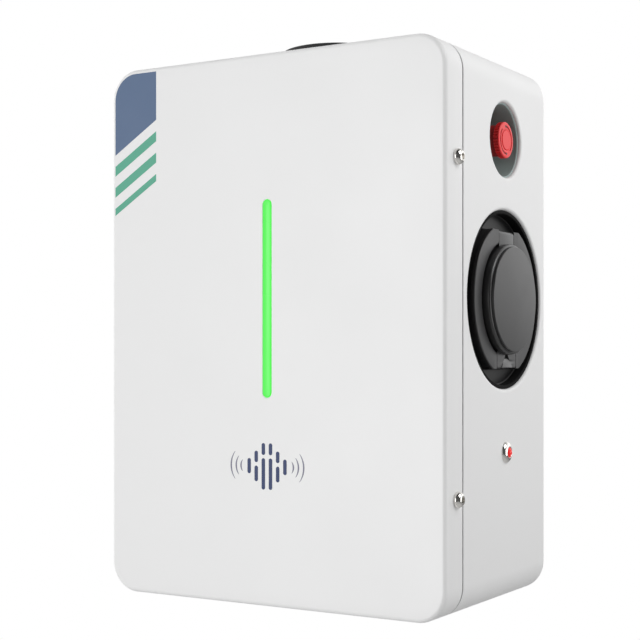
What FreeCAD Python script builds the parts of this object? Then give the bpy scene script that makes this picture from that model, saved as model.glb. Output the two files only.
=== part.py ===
import FreeCAD, Part
import math
import os
import re

import Sketcher

# Wall-hung charging unit. X to the right, Y towards the wall, Z up, in millimetres.
# The origin lies on the wall plane, in the middle of the wall bracket's four holes.

sizes = [
    # the box
    ("boxWidth", 265, "outside width"),
    ("boxHeight", 370, "outside height"),
    ("boxDepth", 159, "front face to the housing's back rim"),
    ("cornerRadius", 21, "corners of the front outline"),
    ("frontEdge", 3, "rounding round the front face"),
    ("rearEdge", 2.5, "rounding round the back rim"),
    ("wallGap", 1, "back rim to the wall"),
    ("coverDepth", 23.4, "front face to the cover's rim"),
    ("coverWall", 3, "side walls of the cover"),
    ("coverFront", 3, "front wall of the cover"),
    ("housingWall", 3.2, "side walls of the housing"),
    ("backWall", 3.2, "back wall of the housing"),
    ("sealGap", 1.6, "cover rim to housing rim"),
    ("sealInset", 1.2, "seal below the outside"),
    ("collarWall", 2.4, "collar that the cover slips over"),
    ("collarGap", 0.4, "collar to cover wall"),
    ("collarReach", 16.5, "collar in front of the housing's rim"),
    ("rimStep", 3, "depth of the thick rim that carries the collar"),
    ("seat", 0.1, "play between pieces that seat in each other"),
    ("runningPlay", 0.05, "radial play of a shaft in its hole"),
    ("movingGap", 0.3, "gap between pieces that move past each other"),
    ("cutPast", 1, "cuts start and end this far outside a piece"),
    # cover screws
    ("screwSetback", 15.7, "front face to the screws"),
    ("screwInset", 77.2, "top and bottom of the box to the screws"),
    ("screwRadius", 3, "thread of the cover screws"),
    ("screwHeadRadius", 5.25, "button head"),
    ("screwHeadHeight", 3.3, "button head"),
    ("screwHexHalf", 2, "half across the flats of the hex socket"),
    ("screwHexDepth", 2, "hex socket"),
    ("screwHexRim", 2.8, "flat round the hex socket"),
    ("screwHeadFoot", 0.7, "straight edge of the button head"),
    ("screwHeadRound", 3.2, "dome of the button head"),
    ("screwLength", 12, "under the head"),
    ("screwBossDepth", 8, "boss behind the collar"),
    ("screwBossHalf", 7, "half the boss's height"),
    ("screwHoleClearance", 0.3, "hole in the cover round the screw"),
    ("capHexShare", 0.6, "cap screws: hex socket over the thread's radius"),
    ("capEdgeShare", 0.6, "cap screws: straight edge over the head's height"),
    ("capFaceShare", 0.8, "cap screws: flat face over the head's radius"),
    # light bar
    ("barWidth", 7, "light bar"),
    ("barLength", 132.5, "light bar"),
    ("barCentre", 20.75, "middle of the light bar above the origin"),
    ("barFlange", 2.5, "rim of the lens behind the cover's face"),
    ("barFlangeDepth", 1.5, "thickness of that rim"),
    ("boardThickness", 1.6, "circuit boards"),
    ("boardStand", 6, "boards behind the cover's face"),
    ("lightBoardWidth", 16, "light board"),
    ("lightPostGap", 2.25, "board posts to the lens's rim, and to the board's ends"),
    ("lightPitch", 18, "distance between the light emitters"),
    ("lightCount", 7, "light emitters"),
    ("emitterSide", 4, "light emitters"),
    ("emitterHeight", 2, "light emitters"),
    ("coverBossRadius", 3.5, "posts that carry the boards in the cover"),
    # reader
    ("readerCentre", 91.3, "middle of the reader below the origin"),
    ("readerWidth", 80, "reader board"),
    ("readerHeight", 56, "reader board"),
    ("readerPostInset", 6, "reader posts from the board's edges"),
    ("coilWidth", 50, "frame of the reader's coil"),
    ("coilHeight", 32, "frame of the reader's coil"),
    ("coilTrack", 3, "frame of the reader's coil"),
    ("coilCorner", 7, "frame of the reader's coil"),
    # bracket and its recess
    ("recessWidth", 152, "recess in the back for the bracket"),
    ("recessHeight", 206, "recess in the back for the bracket"),
    ("recessDepth", 12, "recess in the back for the bracket"),
    ("recessCorner", 5, "corners of the recess"),
    ("bracketWidth", 140, "wall bracket"),
    ("bracketHeight", 190, "wall bracket"),
    ("bracketThickness", 2.5, "wall bracket's sheet"),
    ("bracketCorner", 6, "wall bracket"),
    ("windowWidth", 64, "window in the bracket"),
    ("windowHeight", 114, "window in the bracket"),
    ("wallHoleSpanX", 100, "wall holes, side to side"),
    ("wallHoleSpanZ", 150, "wall holes, up and down"),
    ("wallHoleRadius", 3.3, "wall holes"),
    ("hookWidth", 90, "hook along the bracket's top"),
    ("hookDrop", 9, "bracket's top edge to the hook's seat"),
    ("hookReach", 9.5, "wall to the front of the hook"),
    ("lockSpan", 90, "between the two locking screws"),
    ("lockDrop", 80, "locking screws below the origin"),
    ("lockRadius", 2.5, "thread of the locking screws"),
    ("lockBossRadius", 5.5, "threaded boss on the bracket"),
    ("lockHeadRadius", 4.75, "head of the locking screws"),
    ("lockHeadHeight", 2.7, "head of the locking screws"),
    ("lockLength", 11, "locking screws under the head"),
    ("lockAccess", 1, "hole in the mounting plate round a locking screw's head"),
    # mounting plate and what it carries
    ("postHeight", 20, "back rim to the mounting plate"),
    ("postRadius", 5, "posts of the mounting plate"),
    ("postSpanX", 160, "between the posts"),
    ("postSpanZ", 270, "between the posts"),
    ("postCentreX", -20, "middle of the posts"),
    ("plateMargin", 8, "post centre to the plate's edge"),
    ("plateThickness", 1.5, "mounting plate"),
    ("plateScrewRadius", 2, "thread of the plate screws"),
    ("plateScrewHead", 3.8, "head radius of the plate screws"),
    ("plateScrewHeadHeight", 2.4, "plate screws"),
    ("plateScrewLength", 10, "plate screws under the head"),
    ("railRise", 50, "middle of the rail above the plate's lower posts"),
    ("railLength", 158, "mounting rail"),
    ("railWidth", 35, "mounting rail over its lips"),
    ("railBase", 25, "mounting rail between its legs"),
    ("railHeight", 7.5, "mounting rail"),
    ("railSheet", 1, "mounting rail"),
    ("moduleHeight", 85, "rail modules"),
    ("moduleShoulder", 44, "rail modules, depth at the terminals"),
    ("moduleNose", 58, "rail modules, depth at the nose"),
    ("moduleNoseHeight", 45, "rail modules"),
    ("moduleGap", 0.4, "between rail modules"),
    ("contactorWidth", 36, "contactor"),
    ("residualWidth", 70, "residual current unit"),
    ("leverHalfWidth", 12, "lever of the residual current unit"),
    ("leverHalfHeight", 5, "lever of the residual current unit"),
    ("leverRise", 6, "lever of the residual current unit"),
    ("terminalWidth", 48, "terminal block"),
    ("terminalCount", 5, "clamps of the terminal block"),
    ("terminalPocket", 3.2, "radius of a clamp's screw well"),
    ("terminalWell", 14.7, "depth of a clamp's screw well"),
    ("terminalShoulder", 26.4, "straight side of the terminal block"),
    ("controlWidth", 150, "control board"),
    ("controlHeight", 140, "control board"),
    ("controlCentre", 55, "middle of the control board above the origin"),
    ("standoffHeight", 8, "control board above the plate"),
    ("standoffRadius", 3, "control board's standoffs"),
    ("standoffInset", 6, "standoffs from the board's edges"),
    ("sensorOuter", 19, "current sensor ring"),
    ("sensorInner", 10, "current sensor ring"),
    ("sensorDepth", 16, "current sensor ring"),
    ("sensorRight", 24, "current sensor to the right of the board's middle"),
    ("sensorDown", 17, "current sensor below the board's middle"),
    # low antenna on the top
    ("puckRadius", 37, "antenna"),
    ("puckHeight", 15.8, "antenna"),
    ("puckEdge", 4, "rounding of the antenna's top edge"),
    ("puckFoot", 1.2, "step at the antenna's foot"),
    ("puckStudRadius", 8, "antenna's hollow stud"),
    ("puckStudBore", 5, "way for the antenna lead"),
    ("puckStudLength", 14, "antenna's stud under the foot"),
    ("puckNutRadius", 13, "antenna nut"),
    ("puckNutHeight", 4, "antenna nut"),
    # supply gland in the bottom
    ("glandX", -30, "gland to the right of the middle"),
    ("glandForward", 30, "back rim to the gland"),
    ("glandThread", 12.5, "radius of the gland's thread"),
    ("glandBore", 10.2, "bore of the gland body"),
    ("glandHexHalf", 16.5, "half across the flats of the gland's hexagons"),
    ("glandFlange", 5, "height of the gland body's hexagon"),
    ("glandInside", 11, "gland thread above the bottom's outside"),
    ("glandSkirt", 11, "gland thread under the hexagon"),
    ("glandNutHeight", 5, "lock nut"),
    ("cableRadius", 8, "bore of the sealing ring"),
    ("sealRingLength", 12, "sealing ring"),
    ("capLip", 2.5, "end wall of the cap"),
    ("capGap", 1, "cap to the gland body's hexagon"),
    ("capMouth", 9.2, "mouth of the cap"),
    ("capHexHalf", 16, "half across the flats of the cap"),
    # emergency stop
    ("stopCentre", 128, "emergency stop above the origin"),
    ("stopRim", 26.75, "recess at the side face"),
    ("stopFlare", 5, "rounding of the recess's rim"),
    ("stopLedge", 0.6, "ledge in front of the insert"),
    ("stopBossRadius", 30, "boss behind the recess"),
    ("stopBossDepth", 9, "side face to the back of the boss"),
    ("stopCupWall", 2, "insert"),
    ("stopCupDepth", 28, "side face to the insert's floor"),
    ("stopCupFloor", 2.5, "insert's floor"),
    ("stopBarrel", 8, "radius of the stop's threaded barrel"),
    ("stopCollarRadius", 11.5, "collar on the insert's floor"),
    ("stopCollarHeight", 2, "collar on the insert's floor"),
    ("stopTube", 7, "guide tube inside the skirt"),
    ("stopTubeTop", 14, "side face to the end of the guide tube"),
    ("stopHeadRadius", 12.2, "red head"),
    ("stopHeadDepth", 8.5, "red head"),
    ("stopSkirtRadius", 10.5, "skirt behind the head"),
    ("stopSkirtEnd", 21.5, "side face to the skirt's end"),
    ("stopSkirtWall", 2.8, "skirt"),
    ("stopRing", 8.6, "raised ring on the head"),
    ("stopDisc", 6.5, "disc in the middle of the head"),
    ("stopGroove", 0.5, "depth of the ring groove on the head"),
    ("stopGrips", 36, "grip notches round the head"),
    ("stopGripRadius", 0.55, "a grip notch"),
    ("stopGripLength", 6.4, "a grip notch"),
    ("stopGripStart", 1, "side face to the grip notches"),
    ("stopHeadChamfer", 1.2, "edge of the head's face"),
    ("stopHeadUndercut", 0.8, "edge of the head's underside"),
    ("stopGrooveWidth", 0.5, "grooves on the head"),
    ("stopDiscProud", 0.3, "disc in the middle of the head"),
    ("stopStem", 3, "radius of the stem"),
    ("stopStemEnd", 46, "side face to the stem's inner end"),
    ("stopStemSocket", 3.5, "stem inside the head"),
    ("stopNutRadius", 12, "nut behind the insert"),
    ("stopNutHeight", 4, "nut behind the insert"),
    ("stopBarrelEnd", 38, "side face to the barrel's inner end"),
    ("stopBlockSide", 22, "contact block"),
    ("stopBlockDepth", 26, "contact block"),
    ("stopBlockCorner", 2, "contact block"),
    ("stopBlockFloor", 4, "contact block behind the stem's bore"),
    # charging socket
    ("socketCentre", 20.3, "socket above the origin"),
    ("sideMargin", 4.5, "socket hole to the edges of the housing's side"),
    ("socketRound", 2.2, "rounding of the socket hole"),
    ("cupWall", 2.5, "cup round the socket"),
    ("cupFront", 1.4, "side face to the cup's rim"),
    ("cupDepth", 18, "side face to the cup's floor"),
    ("cupFloor", 2.5, "cup's floor"),
    ("cupLip", 2.6, "cup's lip behind the housing wall"),
    ("cupLipDepth", 2.5, "cup's lip"),
    ("tubeRoom", 1, "opening in the cup's floor round the socket tube"),
    ("dishRim", 3.4, "side face to the dished shelf at the cup wall"),
    ("dishFloor", 8.5, "side face to the dished shelf's inner edge"),
    ("dishInner", 42, "inner edge of the dished shelf"),
    ("dishRadius", 26, "curve of the dished shelf"),
    ("slotHalf", 47.1, "half height of the pocket round the flange"),
    ("flangeGap", 2.2, "socket flange to the cup's wall"),
    ("flangeHalf", 46.6, "half height between the flange's flats"),
    ("flangeProud", 0.8, "flange in front of the side face"),
    ("flangeEdge", 1.6, "chamfer round the flange"),
    ("coveOuter", 46.5, "cove round the lid, at the flange's face"),
    ("coveInner", 39.5, "cove round the lid, at its foot"),
    ("coveDepth", 5, "side face to the seat of the lid's seal"),
    ("coveRound", 7.3, "curve of the cove"),
    ("tubeOuter", 35, "socket tube"),
    ("tubeCollar", 2.5, "collar round the socket tube"),
    ("tubeCollarDepth", 4, "recess for that collar in the flange's back"),
    ("mouthRadius", 31.5, "socket's mouth"),
    ("tubeEnd", 52, "side face to the end of the socket tube"),
    ("flangeScrewInset", 7.4, "screws behind the flange from its edge"),
    ("flangeScrewRadius", 2, "screws behind the flange"),
    ("flangeScrewHead", 3.6, "screws behind the flange"),
    ("flangeScrewHeadHeight", 2.6, "screws behind the flange"),
    ("flangeScrewLength", 9, "screws behind the flange"),
    ("coreRadius", 25.3, "insulator that carries the contacts"),
    ("coreFace", 9, "side face to the insulator's face"),
    ("coreBase", 38, "side face to the insulator's foot"),
    ("coreFlat", 21.5, "flat on the insulator's top"),
    ("powerSpan", 15.5, "contact circle of the power contacts"),
    ("signalSpan", 14.2, "contact circle of the signal contacts"),
    ("powerHole", 4.4, "holes for the power contacts"),
    ("signalHole", 2.9, "holes for the signal contacts"),
    ("contactWall", 1.1, "contact sleeves"),
    ("contactFront", 12, "side face to the contacts"),
    ("contactFloor", 2, "floor of a contact sleeve"),
    # lid
    ("lidRadius", 37.25, "lid"),
    ("lidProud", 7, "lid's edge in front of the side face"),
    ("lidDome", 1.6, "rise of the lid's face"),
    ("lidEdge", 1.6, "rounding of the lid's edge"),
    ("lidFoot", 3.5, "side face to the lid's underside"),
    ("lidWaist", 1, "depth of the groove round the lid"),
    ("lidWaistWidth", 2.6, "groove round the lid"),
    ("lidWaistPlace", 1.2, "side face to the groove's front"),
    ("lidShell", 3, "lid's face"),
    ("lidHollow", 31, "hollow behind the lid's face"),
    ("lidSealWidth", 3.4, "seal under the lid"),
    ("lidSealHeight", 1.2, "seal under the lid"),
    ("lidSealInset", 0.6, "seal inside the lid's edge"),
    ("armHalf", 12.4, "half width of the lid's arm and tab"),
    ("armGap", 0.4, "arm and tab to the notch's sides"),
    ("armBack", 5.5, "side face to the arm's underside"),
    ("armTop", 0.4, "arm below the flange's flat"),
    ("armChamfer", 0.8, "edge of the arm and tab"),
    ("armRoot", 2, "arm and tab inside the lid's edge"),
    ("armKnee", 2, "bend of the arm's underside in front of the pin"),
    ("notchDepth", 8.2, "side face to the notch's floor"),
    ("notchInner", 30, "notch towards the lid's middle, inside the flange's bore"),
    ("pinUp", 42.5, "hinge pin above the socket's middle"),
    ("pinDepth", 2.5, "side face to the hinge pin"),
    ("pinRadius", 1.25, "hinge pin"),
    ("pinHalf", 16, "half length of the hinge pin"),
    ("springHalf", 4, "half width of the spring's slot"),
    ("springWire", 0.25, "radius of the spring's wire"),
    ("springRadius", 1.6, "middle radius of the spring"),
    ("springPitch", 0.9, "pitch of the spring"),
    ("springSkin", 0.4, "side face to the slot under the arm"),
    ("tabPeak", 4.2, "lift point of the tab above its face"),
    ("tabPointHalf", 5, "half width of the lift point"),
    ("tabTipHalf", 0.4, "half width of the lift point's tip"),
    # lock
    ("lockPinRadius", 2.5, "lock pin"),
    ("lockPinDepth", 30, "side face to the lock pin"),
    ("lockPinTip", 32, "socket's middle to the pin's tip"),
    ("lockPinTop", 50, "socket's middle to the pin's inner end"),
    ("motorHalf", 14, "half width of the lock actuator"),
    ("motorFoot", 36, "socket's middle to the actuator's foot"),
    ("motorTop", 62, "socket's middle to the actuator's top"),
    ("motorFront", 21.5, "side face to the actuator's front"),
    ("motorBack", 52, "side face to the actuator's back"),
    ("motorCut", 8, "corner cut off the lock actuator"),
    ("lockPinRoom", 2, "bore of the actuator behind the pin"),
    ("lockPinChamfer", 0.6, "tip of the lock pin"),
    # lamp
    ("lampCentre", 82.6, "lamp below the origin"),
    ("lampRadius", 7.3, "lamp bezel"),
    ("lampProud", 2.3, "lamp bezel"),
    ("lampBarrel", 6, "lamp's barrel"),
    ("lampLens", 3.6, "lamp's lens"),
    ("lampLensRise", 1.5, "dome of the lamp's lens"),
    ("lampLensFoot", 16, "side face to the lens's inner end"),
    ("lampFace", 0.6, "flat of the bezel round the lens"),
    ("lampBezelEdge", 0.4, "straight edge of the bezel"),
    ("lampBezelRound", 4.3, "dome of the bezel"),
    ("lampBezelLip", 0.3, "chamfer of the bezel round the lens"),
    ("lampLensBack", 0.6, "edge of the lens behind the bezel's front"),
    ("lampEnd", 20, "side face to the lamp's inner end"),
    ("lampNutRadius", 9.5, "lamp nut"),
    ("lampNutHeight", 3, "lamp nut"),
]

# parts of the control board: left and lower edges from its middle, width, height and rise
boardParts = {
    "supply": (-63, 7, 57, 50, 22),
    "relay": (3, 11, 33, 31, 18),
    "powerPlug": (-60, -59, 45, 20, 12),
    "signalPlug": (9, -59, 51, 20, 12),
    "capacitors": (45, 14, 18, 42, 9),
    "processor": (-30, -25, 24, 22, 4),
}
boardSides = ("X", "Y", "Width", "Height", "Rise")
for part, values in boardParts.items():
    sizes += [(part + side, value, part) for side, value in zip(boardSides, values)]

powerAngles = (-20, -65, -115, -160)
signalAngles = (52, 128)

names = {name for name, value, note in sizes}

doc = FreeCAD.newDocument("charging_unit")
dims = doc.addObject("Spreadsheet::Sheet", "dims")
for row, (name, value, note) in enumerate(sizes, start=1):
    dims.set(f"A{row}", note)
    dims.set(f"B{row}", str(value))
    dims.setAlias(f"B{row}", name)
doc.recompute()

# Each plane is named by the direction of its sketch's two axes.
frontPlane = "XY_Plane"
uprightPlane = "XZ_Plane"
sidePlane = "YZ_Plane"

vector = FreeCAD.Vector
facingUp = FreeCAD.Rotation()
facingFront = FreeCAD.Rotation(vector(1, 0, 0), 90)
facingDown = FreeCAD.Rotation(vector(1, 0, 0), 180)
facingSide = FreeCAD.Rotation(vector(1, 1, 1), 120)

pieces = []


def cells(text):
    """The expression with each size name turned into its cell."""
    return re.sub(r"[A-Za-z]\w*", lambda m: f"dims.{m[0]}" if m[0] in names else m[0], str(text))


def number(text):
    return float(dims.evalExpression(cells(text)))


def bind(thing, name, text):
    thing.setExpression(name, cells(text))


def put(thing, x="0", y="0", z="0", turn=facingUp):
    """Place a piece by three expressions and a turn."""
    thing.Placement = FreeCAD.Placement(vector(number(x), number(y), number(z)), turn)
    bind(thing, "Placement.Base.x", x)
    bind(thing, "Placement.Base.y", y)
    bind(thing, "Placement.Base.z", z)
    return thing


def finished(thing, label):
    thing.Label = label
    pieces.append(thing)
    return thing


def newBody(name):
    return doc.addObject("PartDesign::Body", name)


def newSketch(body, plane, offset="0", x="0", y="0"):
    """A sketch on one of the body's own planes, moved along its normal and in its plane."""
    sketch = body.newObject("Sketcher::SketchObject", "sketch")
    support = [part for part in body.Origin.OriginFeatures if part.Role == plane]
    sketch.AttachmentSupport = [(support[0], "")]
    sketch.MapMode = "FlatFace"
    bind(sketch, ".AttachmentOffset.Base.x", x)
    bind(sketch, ".AttachmentOffset.Base.y", y)
    bind(sketch, ".AttachmentOffset.Base.z", offset)
    return sketch


def hold(sketch, kind, targets, text):
    """One dimension of a sketch, bound to its expression."""
    index = sketch.addConstraint(Sketcher.Constraint(kind, *targets, number(text)))
    bind(sketch, f"Constraints[{index}]", text)


def outline(sketch, corners):
    """A closed outline through corners given as expressions.

    A corner with a radius and a side starts an arc, whose centre lies to the left (1)
    or to the right (-1) of the way to the next corner.
    """
    points = [vector(number(corner[0]), number(corner[1]), 0) for corner in corners]
    edges = []
    for index, corner in enumerate(corners):
        start = points[index]
        end = points[(index + 1) % len(points)]
        if len(corner) == 2:
            edges.append((sketch.addGeometry(Part.LineSegment(start, end), False), 1, 2))
            continue
        radius, side = number(corner[2]), corner[3]
        chord = end - start
        rise = math.sqrt(max(radius ** 2 - chord.Length ** 2 / 4, 0))
        centre = (start + end) / 2 + vector(-chord.y, chord.x, 0).normalize() * side * rise
        first, last = (start, end) if side > 0 else (end, start)
        angles = [math.atan2(point.y - centre.y, point.x - centre.x) for point in (first, last)]
        if angles[1] < angles[0]:
            angles[1] += 2 * math.pi
        arc = Part.ArcOfCircle(Part.Circle(centre, vector(0, 0, 1), radius), *angles)
        edge = sketch.addGeometry(arc, False)
        edges.append((edge, 1, 2) if side > 0 else (edge, 2, 1))
    for index, corner in enumerate(corners):
        edge, near, far = edges[index]
        following, opening, _ = edges[(index + 1) % len(edges)]
        sketch.addConstraint(Sketcher.Constraint("Coincident", edge, far, following, opening))
        hold(sketch, "DistanceX", (-1, 1, edge, near), corner[0])
        hold(sketch, "DistanceY", (-1, 1, edge, near), corner[1])
        if len(corner) == 4:
            hold(sketch, "Radius", (edge,), corner[2])
    return sketch


def circle(sketch, x, y, radius):
    shape = Part.Circle(vector(number(x), number(y), 0), vector(0, 0, 1), number(radius))
    edge = sketch.addGeometry(shape, False)
    hold(sketch, "DistanceX", (-1, 1, edge, 3), x)
    hold(sketch, "DistanceY", (-1, 1, edge, 3), y)
    hold(sketch, "Radius", (edge,), radius)
    return sketch


def rectangle(sketch, left, bottom, right, top):
    return outline(sketch, [(left, bottom), (right, bottom), (right, top), (left, top)])


def rounded(sketch, width, height, radius, y="0"):
    """A rectangle about the sketch's middle, moved up by y, with round corners."""
    x1, y1 = f"({width}) / 2", f"({height}) / 2"
    x0, y0 = f"{x1} - ({radius})", f"{y1} - ({radius})"
    return outline(sketch, [
        (f"-({x0})", f"{y} - ({y1})"),
        (x0, f"{y} - ({y1})", radius, 1),
        (x1, f"{y} - ({y0})"),
        (x1, f"{y} + {y0}", radius, 1),
        (x0, f"{y} + {y1}"),
        (f"-({x0})", f"{y} + {y1}", radius, 1),
        (f"-({x1})", f"{y} + {y0}"),
        (f"-({x1})", f"{y} - ({y0})", radius, 1),
    ])


def hexagon(sketch, half):
    """A hexagon with its flats left and right, half across the flats from the middle."""
    side = f"({half}) / cos(30)"
    return outline(sketch, [
        (half, f"-{side} / 2"), (half, f"{side} / 2"), ("0", side),
        (f"-({half})", f"{side} / 2"), (f"-({half})", f"-{side} / 2"), ("0", f"-{side}"),
    ])


def feature(body, kind, sketch):
    made = body.newObject(f"PartDesign::{kind}", kind.lower())
    made.Profile = sketch
    return made


def pad(body, sketch, length, back=False, middle=False):
    made = feature(body, "Pad", sketch)
    bind(made, "Length", length)
    made.Reversed = back
    made.SideType = "Symmetric" if middle else "One side"
    return made


def pocket(body, sketch, length=None, back=False, middle=False):
    """A pocket of a given depth, or through everything both ways where none is given."""
    doc.recompute()
    before = body.Shape.Volume
    made = feature(body, "Pocket", sketch)
    if length is None:
        made.Type = "ThroughAll"
    else:
        bind(made, "Length", length)
    made.SideType = "Symmetric" if middle or length is None else "One side"
    made.Reversed = back
    doc.recompute()
    if body.Shape.Volume > before - 1e-6:
        raise ValueError(f"{body.Name}: {made.Name} cuts nothing")
    return made


def revolve(body, sketch, axis="V_Axis"):
    made = feature(body, "Revolution", sketch)
    made.ReferenceAxis = (sketch, [axis])
    made.Angle = 360
    return made


def groove(body, sketch):
    """A groove about the sketch's own horizontal axis."""
    doc.recompute()
    before = body.Shape.Volume
    made = feature(body, "Groove", sketch)
    made.ReferenceAxis = (sketch, ["H_Axis"])
    made.Angle = 360
    doc.recompute()
    if body.Shape.Volume > before - 1e-6:
        raise ValueError(f"{body.Name}: {made.Name} cuts nothing")
    return made


def turned(name, corners):
    """A body turned about its own Z, from corners given as radius and height."""
    body = newBody(name)
    revolve(body, outline(newSketch(body, uprightPlane), corners))
    return body


def roundEnd(body, base, height, radius):
    """Round the edges of the flat end face that lies at this height."""
    doc.recompute()
    level = number(height)
    faces = [
        f"Face{index}" for index, face in enumerate(base.Shape.Faces, start=1)
        if face.Surface.TypeId == "Part::GeomPlane" and abs(face.CenterOfMass.z - level) < 1e-4
        and face.BoundBox.ZLength < 1e-4
    ]
    made = body.newObject("PartDesign::Fillet", "rounding")
    made.Base = (base, faces)
    bind(made, "Radius", radius)
    return made


def rod(label, x, y, z, radius, length, turn=facingUp):
    made = doc.addObject("Part::Cylinder", label)
    bind(made, "Radius", radius)
    bind(made, "Height", length)
    return put(made, x, y, z, turn)


def grouped(label, parts):
    """Like pieces that share one file, as separate solids."""
    made = doc.addObject("Part::Compound", label)
    made.Links = parts
    return finished(made, label)


# Places that several pieces share. In the box frame z runs forward from the back rim;
# in a side frame x runs back, y up and z out of the right-hand side face.
housingDepth = "(boxDepth - coverDepth - sealGap)"
coverRim = f"({housingDepth} + sealGap)"
screwForward = "(boxDepth - screwSetback)"
screwUp = "(boxHeight / 2 - screwInset)"
lineForward = f"({housingDepth} / 2)"
lineY = f"(-wallGap - {lineForward})"
plateFront = "(postHeight + plateThickness)"
stopBore = "(stopRim - stopFlare)"
socketRim = f"({lineForward} - sideMargin)"
socketBore = f"({socketRim} - socketRound)"
cupOuter = f"({socketBore} - seat)"
cupInner = f"({cupOuter} - cupWall)"
flangeRadius = f"({cupInner} - flangeGap)"
lightBoardHalf = "(barLength / 2 + barFlange + 2 * coverBossRadius + lightPostGap)"
railCentre = "(railRise - postSpanZ / 2)"


def inBox(thing):
    return put(thing, "0", "-wallGap", "0", facingFront)


def onSide(thing, up):
    return put(thing, "boxWidth / 2", lineY, up, facingSide)


def boxRing(sketch, outer, inner):
    """The box outline as a ring, between two insets from the outside."""
    for inset in (outer, inner):
        rounded(sketch, f"boxWidth - 2 * ({inset})", f"boxHeight - 2 * ({inset})",
                f"cornerRadius - ({inset})")
    return sketch


def rearHousing():
    body = newBody("rear_housing")
    shell = pad(body, rounded(newSketch(body, frontPlane), "boxWidth", "boxHeight", "cornerRadius"),
                housingDepth)
    roundEnd(body, shell, "0", "rearEdge")
    inside = rounded(newSketch(body, frontPlane, "backWall"), "boxWidth - 2 * housingWall",
                     "boxHeight - 2 * housingWall", "cornerRadius - housingWall")
    pocket(body, inside, housingDepth, back=True)
    # the thick rim and the collar that the cover slips over
    collarInner = "coverWall + collarGap + collarWall"
    rim = newSketch(body, frontPlane, f"{housingDepth} - rimStep")
    pad(body, boxRing(rim, "housingWall / 3", collarInner), "rimStep")
    pad(body, boxRing(newSketch(body, frontPlane, housingDepth), "coverWall + collarGap", collarInner),
        "collarReach")
    # four bosses on the collar for the cover screws
    for side in ("", "-"):
        for end in ("", "-"):
            sketch = newSketch(body, frontPlane, f"{housingDepth} - rimStep")
            near = f"{side}(boxWidth / 2 - coverWall - collarGap - collarWall / 2)"
            far = f"{side}(boxWidth / 2 - ({collarInner}) - screwBossDepth)"
            rectangle(sketch, far, f"{end}{screwUp} - screwBossHalf", near, f"{end}{screwUp} + screwBossHalf")
            pad(body, sketch, "rimStep + collarReach")
    sketch = newSketch(body, sidePlane)
    for end in ("", "-"):
        circle(sketch, f"{end}{screwUp}", screwForward, "screwRadius")
    pocket(body, sketch)
    # recess for the bracket, its wall, and the rib that hangs on the hook
    pad(body, rounded(newSketch(body, frontPlane), "recessWidth + 2 * backWall",
                      "recessHeight + 2 * backWall", "recessCorner + backWall"), "recessDepth + backWall")
    pocket(body, rounded(newSketch(body, frontPlane), "recessWidth", "recessHeight", "recessCorner"),
           "recessDepth", back=True)
    rib = newSketch(body, frontPlane, "bracketThickness - wallGap + movingGap")
    hookSeat = "(bracketHeight / 2 - hookDrop + bracketThickness)"
    rectangle(rib, "-hookWidth / 2", f"{hookSeat} + seat", "hookWidth / 2", "recessHeight / 2 + backWall / 2")
    pad(body, rib, "hookReach - 2 * bracketThickness - 2 * movingGap")
    sketch = newSketch(body, frontPlane, "recessDepth")
    for side in ("", "-"):
        circle(sketch, f"{side}lockSpan / 2", "-lockDrop", "lockRadius + seat")
    pocket(body, sketch, "backWall", back=True)
    # posts of the mounting plate, with their screw holes
    posts = newSketch(body, frontPlane, "backWall / 2")
    bores = newSketch(body, frontPlane, "postHeight")
    for side in ("", "-"):
        for end in ("", "-"):
            place = (f"postCentreX + {side}postSpanX / 2", f"{end}postSpanZ / 2")
            circle(posts, *place, "postRadius")
            circle(bores, *place, "plateScrewRadius")
    pad(body, posts, "postHeight - backWall / 2")
    pocket(body, bores, "plateScrewLength")
    # recess of the emergency stop: a boss behind the wall and a flared bore with a ledge
    boss = circle(newSketch(body, sidePlane, "boxWidth / 2 - housingWall / 2"), "stopCentre", lineForward,
                  "stopBossRadius")
    pad(body, boss, "stopBossDepth - housingWall / 2", back=True)
    sketch = newSketch(body, frontPlane, lineForward, "boxWidth / 2", "stopCentre")
    outline(sketch, [
        ("cutPast", "0"), ("cutPast", "stopRim"), ("0", "stopRim", "stopFlare", -1),
        ("-stopFlare", stopBore), ("-stopFlare - stopLedge", stopBore),
        ("-stopFlare - stopLedge", f"{stopBore} + stopCupWall + seat"),
        ("-stopBossDepth - cutPast", f"{stopBore} + stopCupWall + seat"), ("-stopBossDepth - cutPast", "0"),
    ])
    groove(body, sketch)
    # socket hole with a rounded edge
    sketch = newSketch(body, frontPlane, lineForward, "boxWidth / 2", "socketCentre")
    outline(sketch, [
        ("cutPast", "0"), ("cutPast", socketRim), ("0", socketRim, "socketRound", -1),
        ("-socketRound", socketBore), ("-housingWall - cutPast", socketBore), ("-housingWall - cutPast", "0"),
    ])
    groove(body, sketch)
    lamp = newSketch(body, sidePlane, "boxWidth / 2 + cutPast")
    pocket(body, circle(lamp, "-lampCentre", lineForward, "lampBarrel + seat"), "housingWall + 2 * cutPast")
    stud = newSketch(body, uprightPlane, "-boxHeight / 2 - cutPast")
    pocket(body, circle(stud, "0", lineForward, "puckStudRadius + seat"), "housingWall + 2 * cutPast",
           back=True)
    gland = newSketch(body, uprightPlane, "boxHeight / 2 + cutPast")
    pocket(body, circle(gland, "glandX", "glandForward", "glandThread + seat"), "housingWall + 2 * cutPast")
    finished(inBox(body), "rear_housing")


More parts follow.
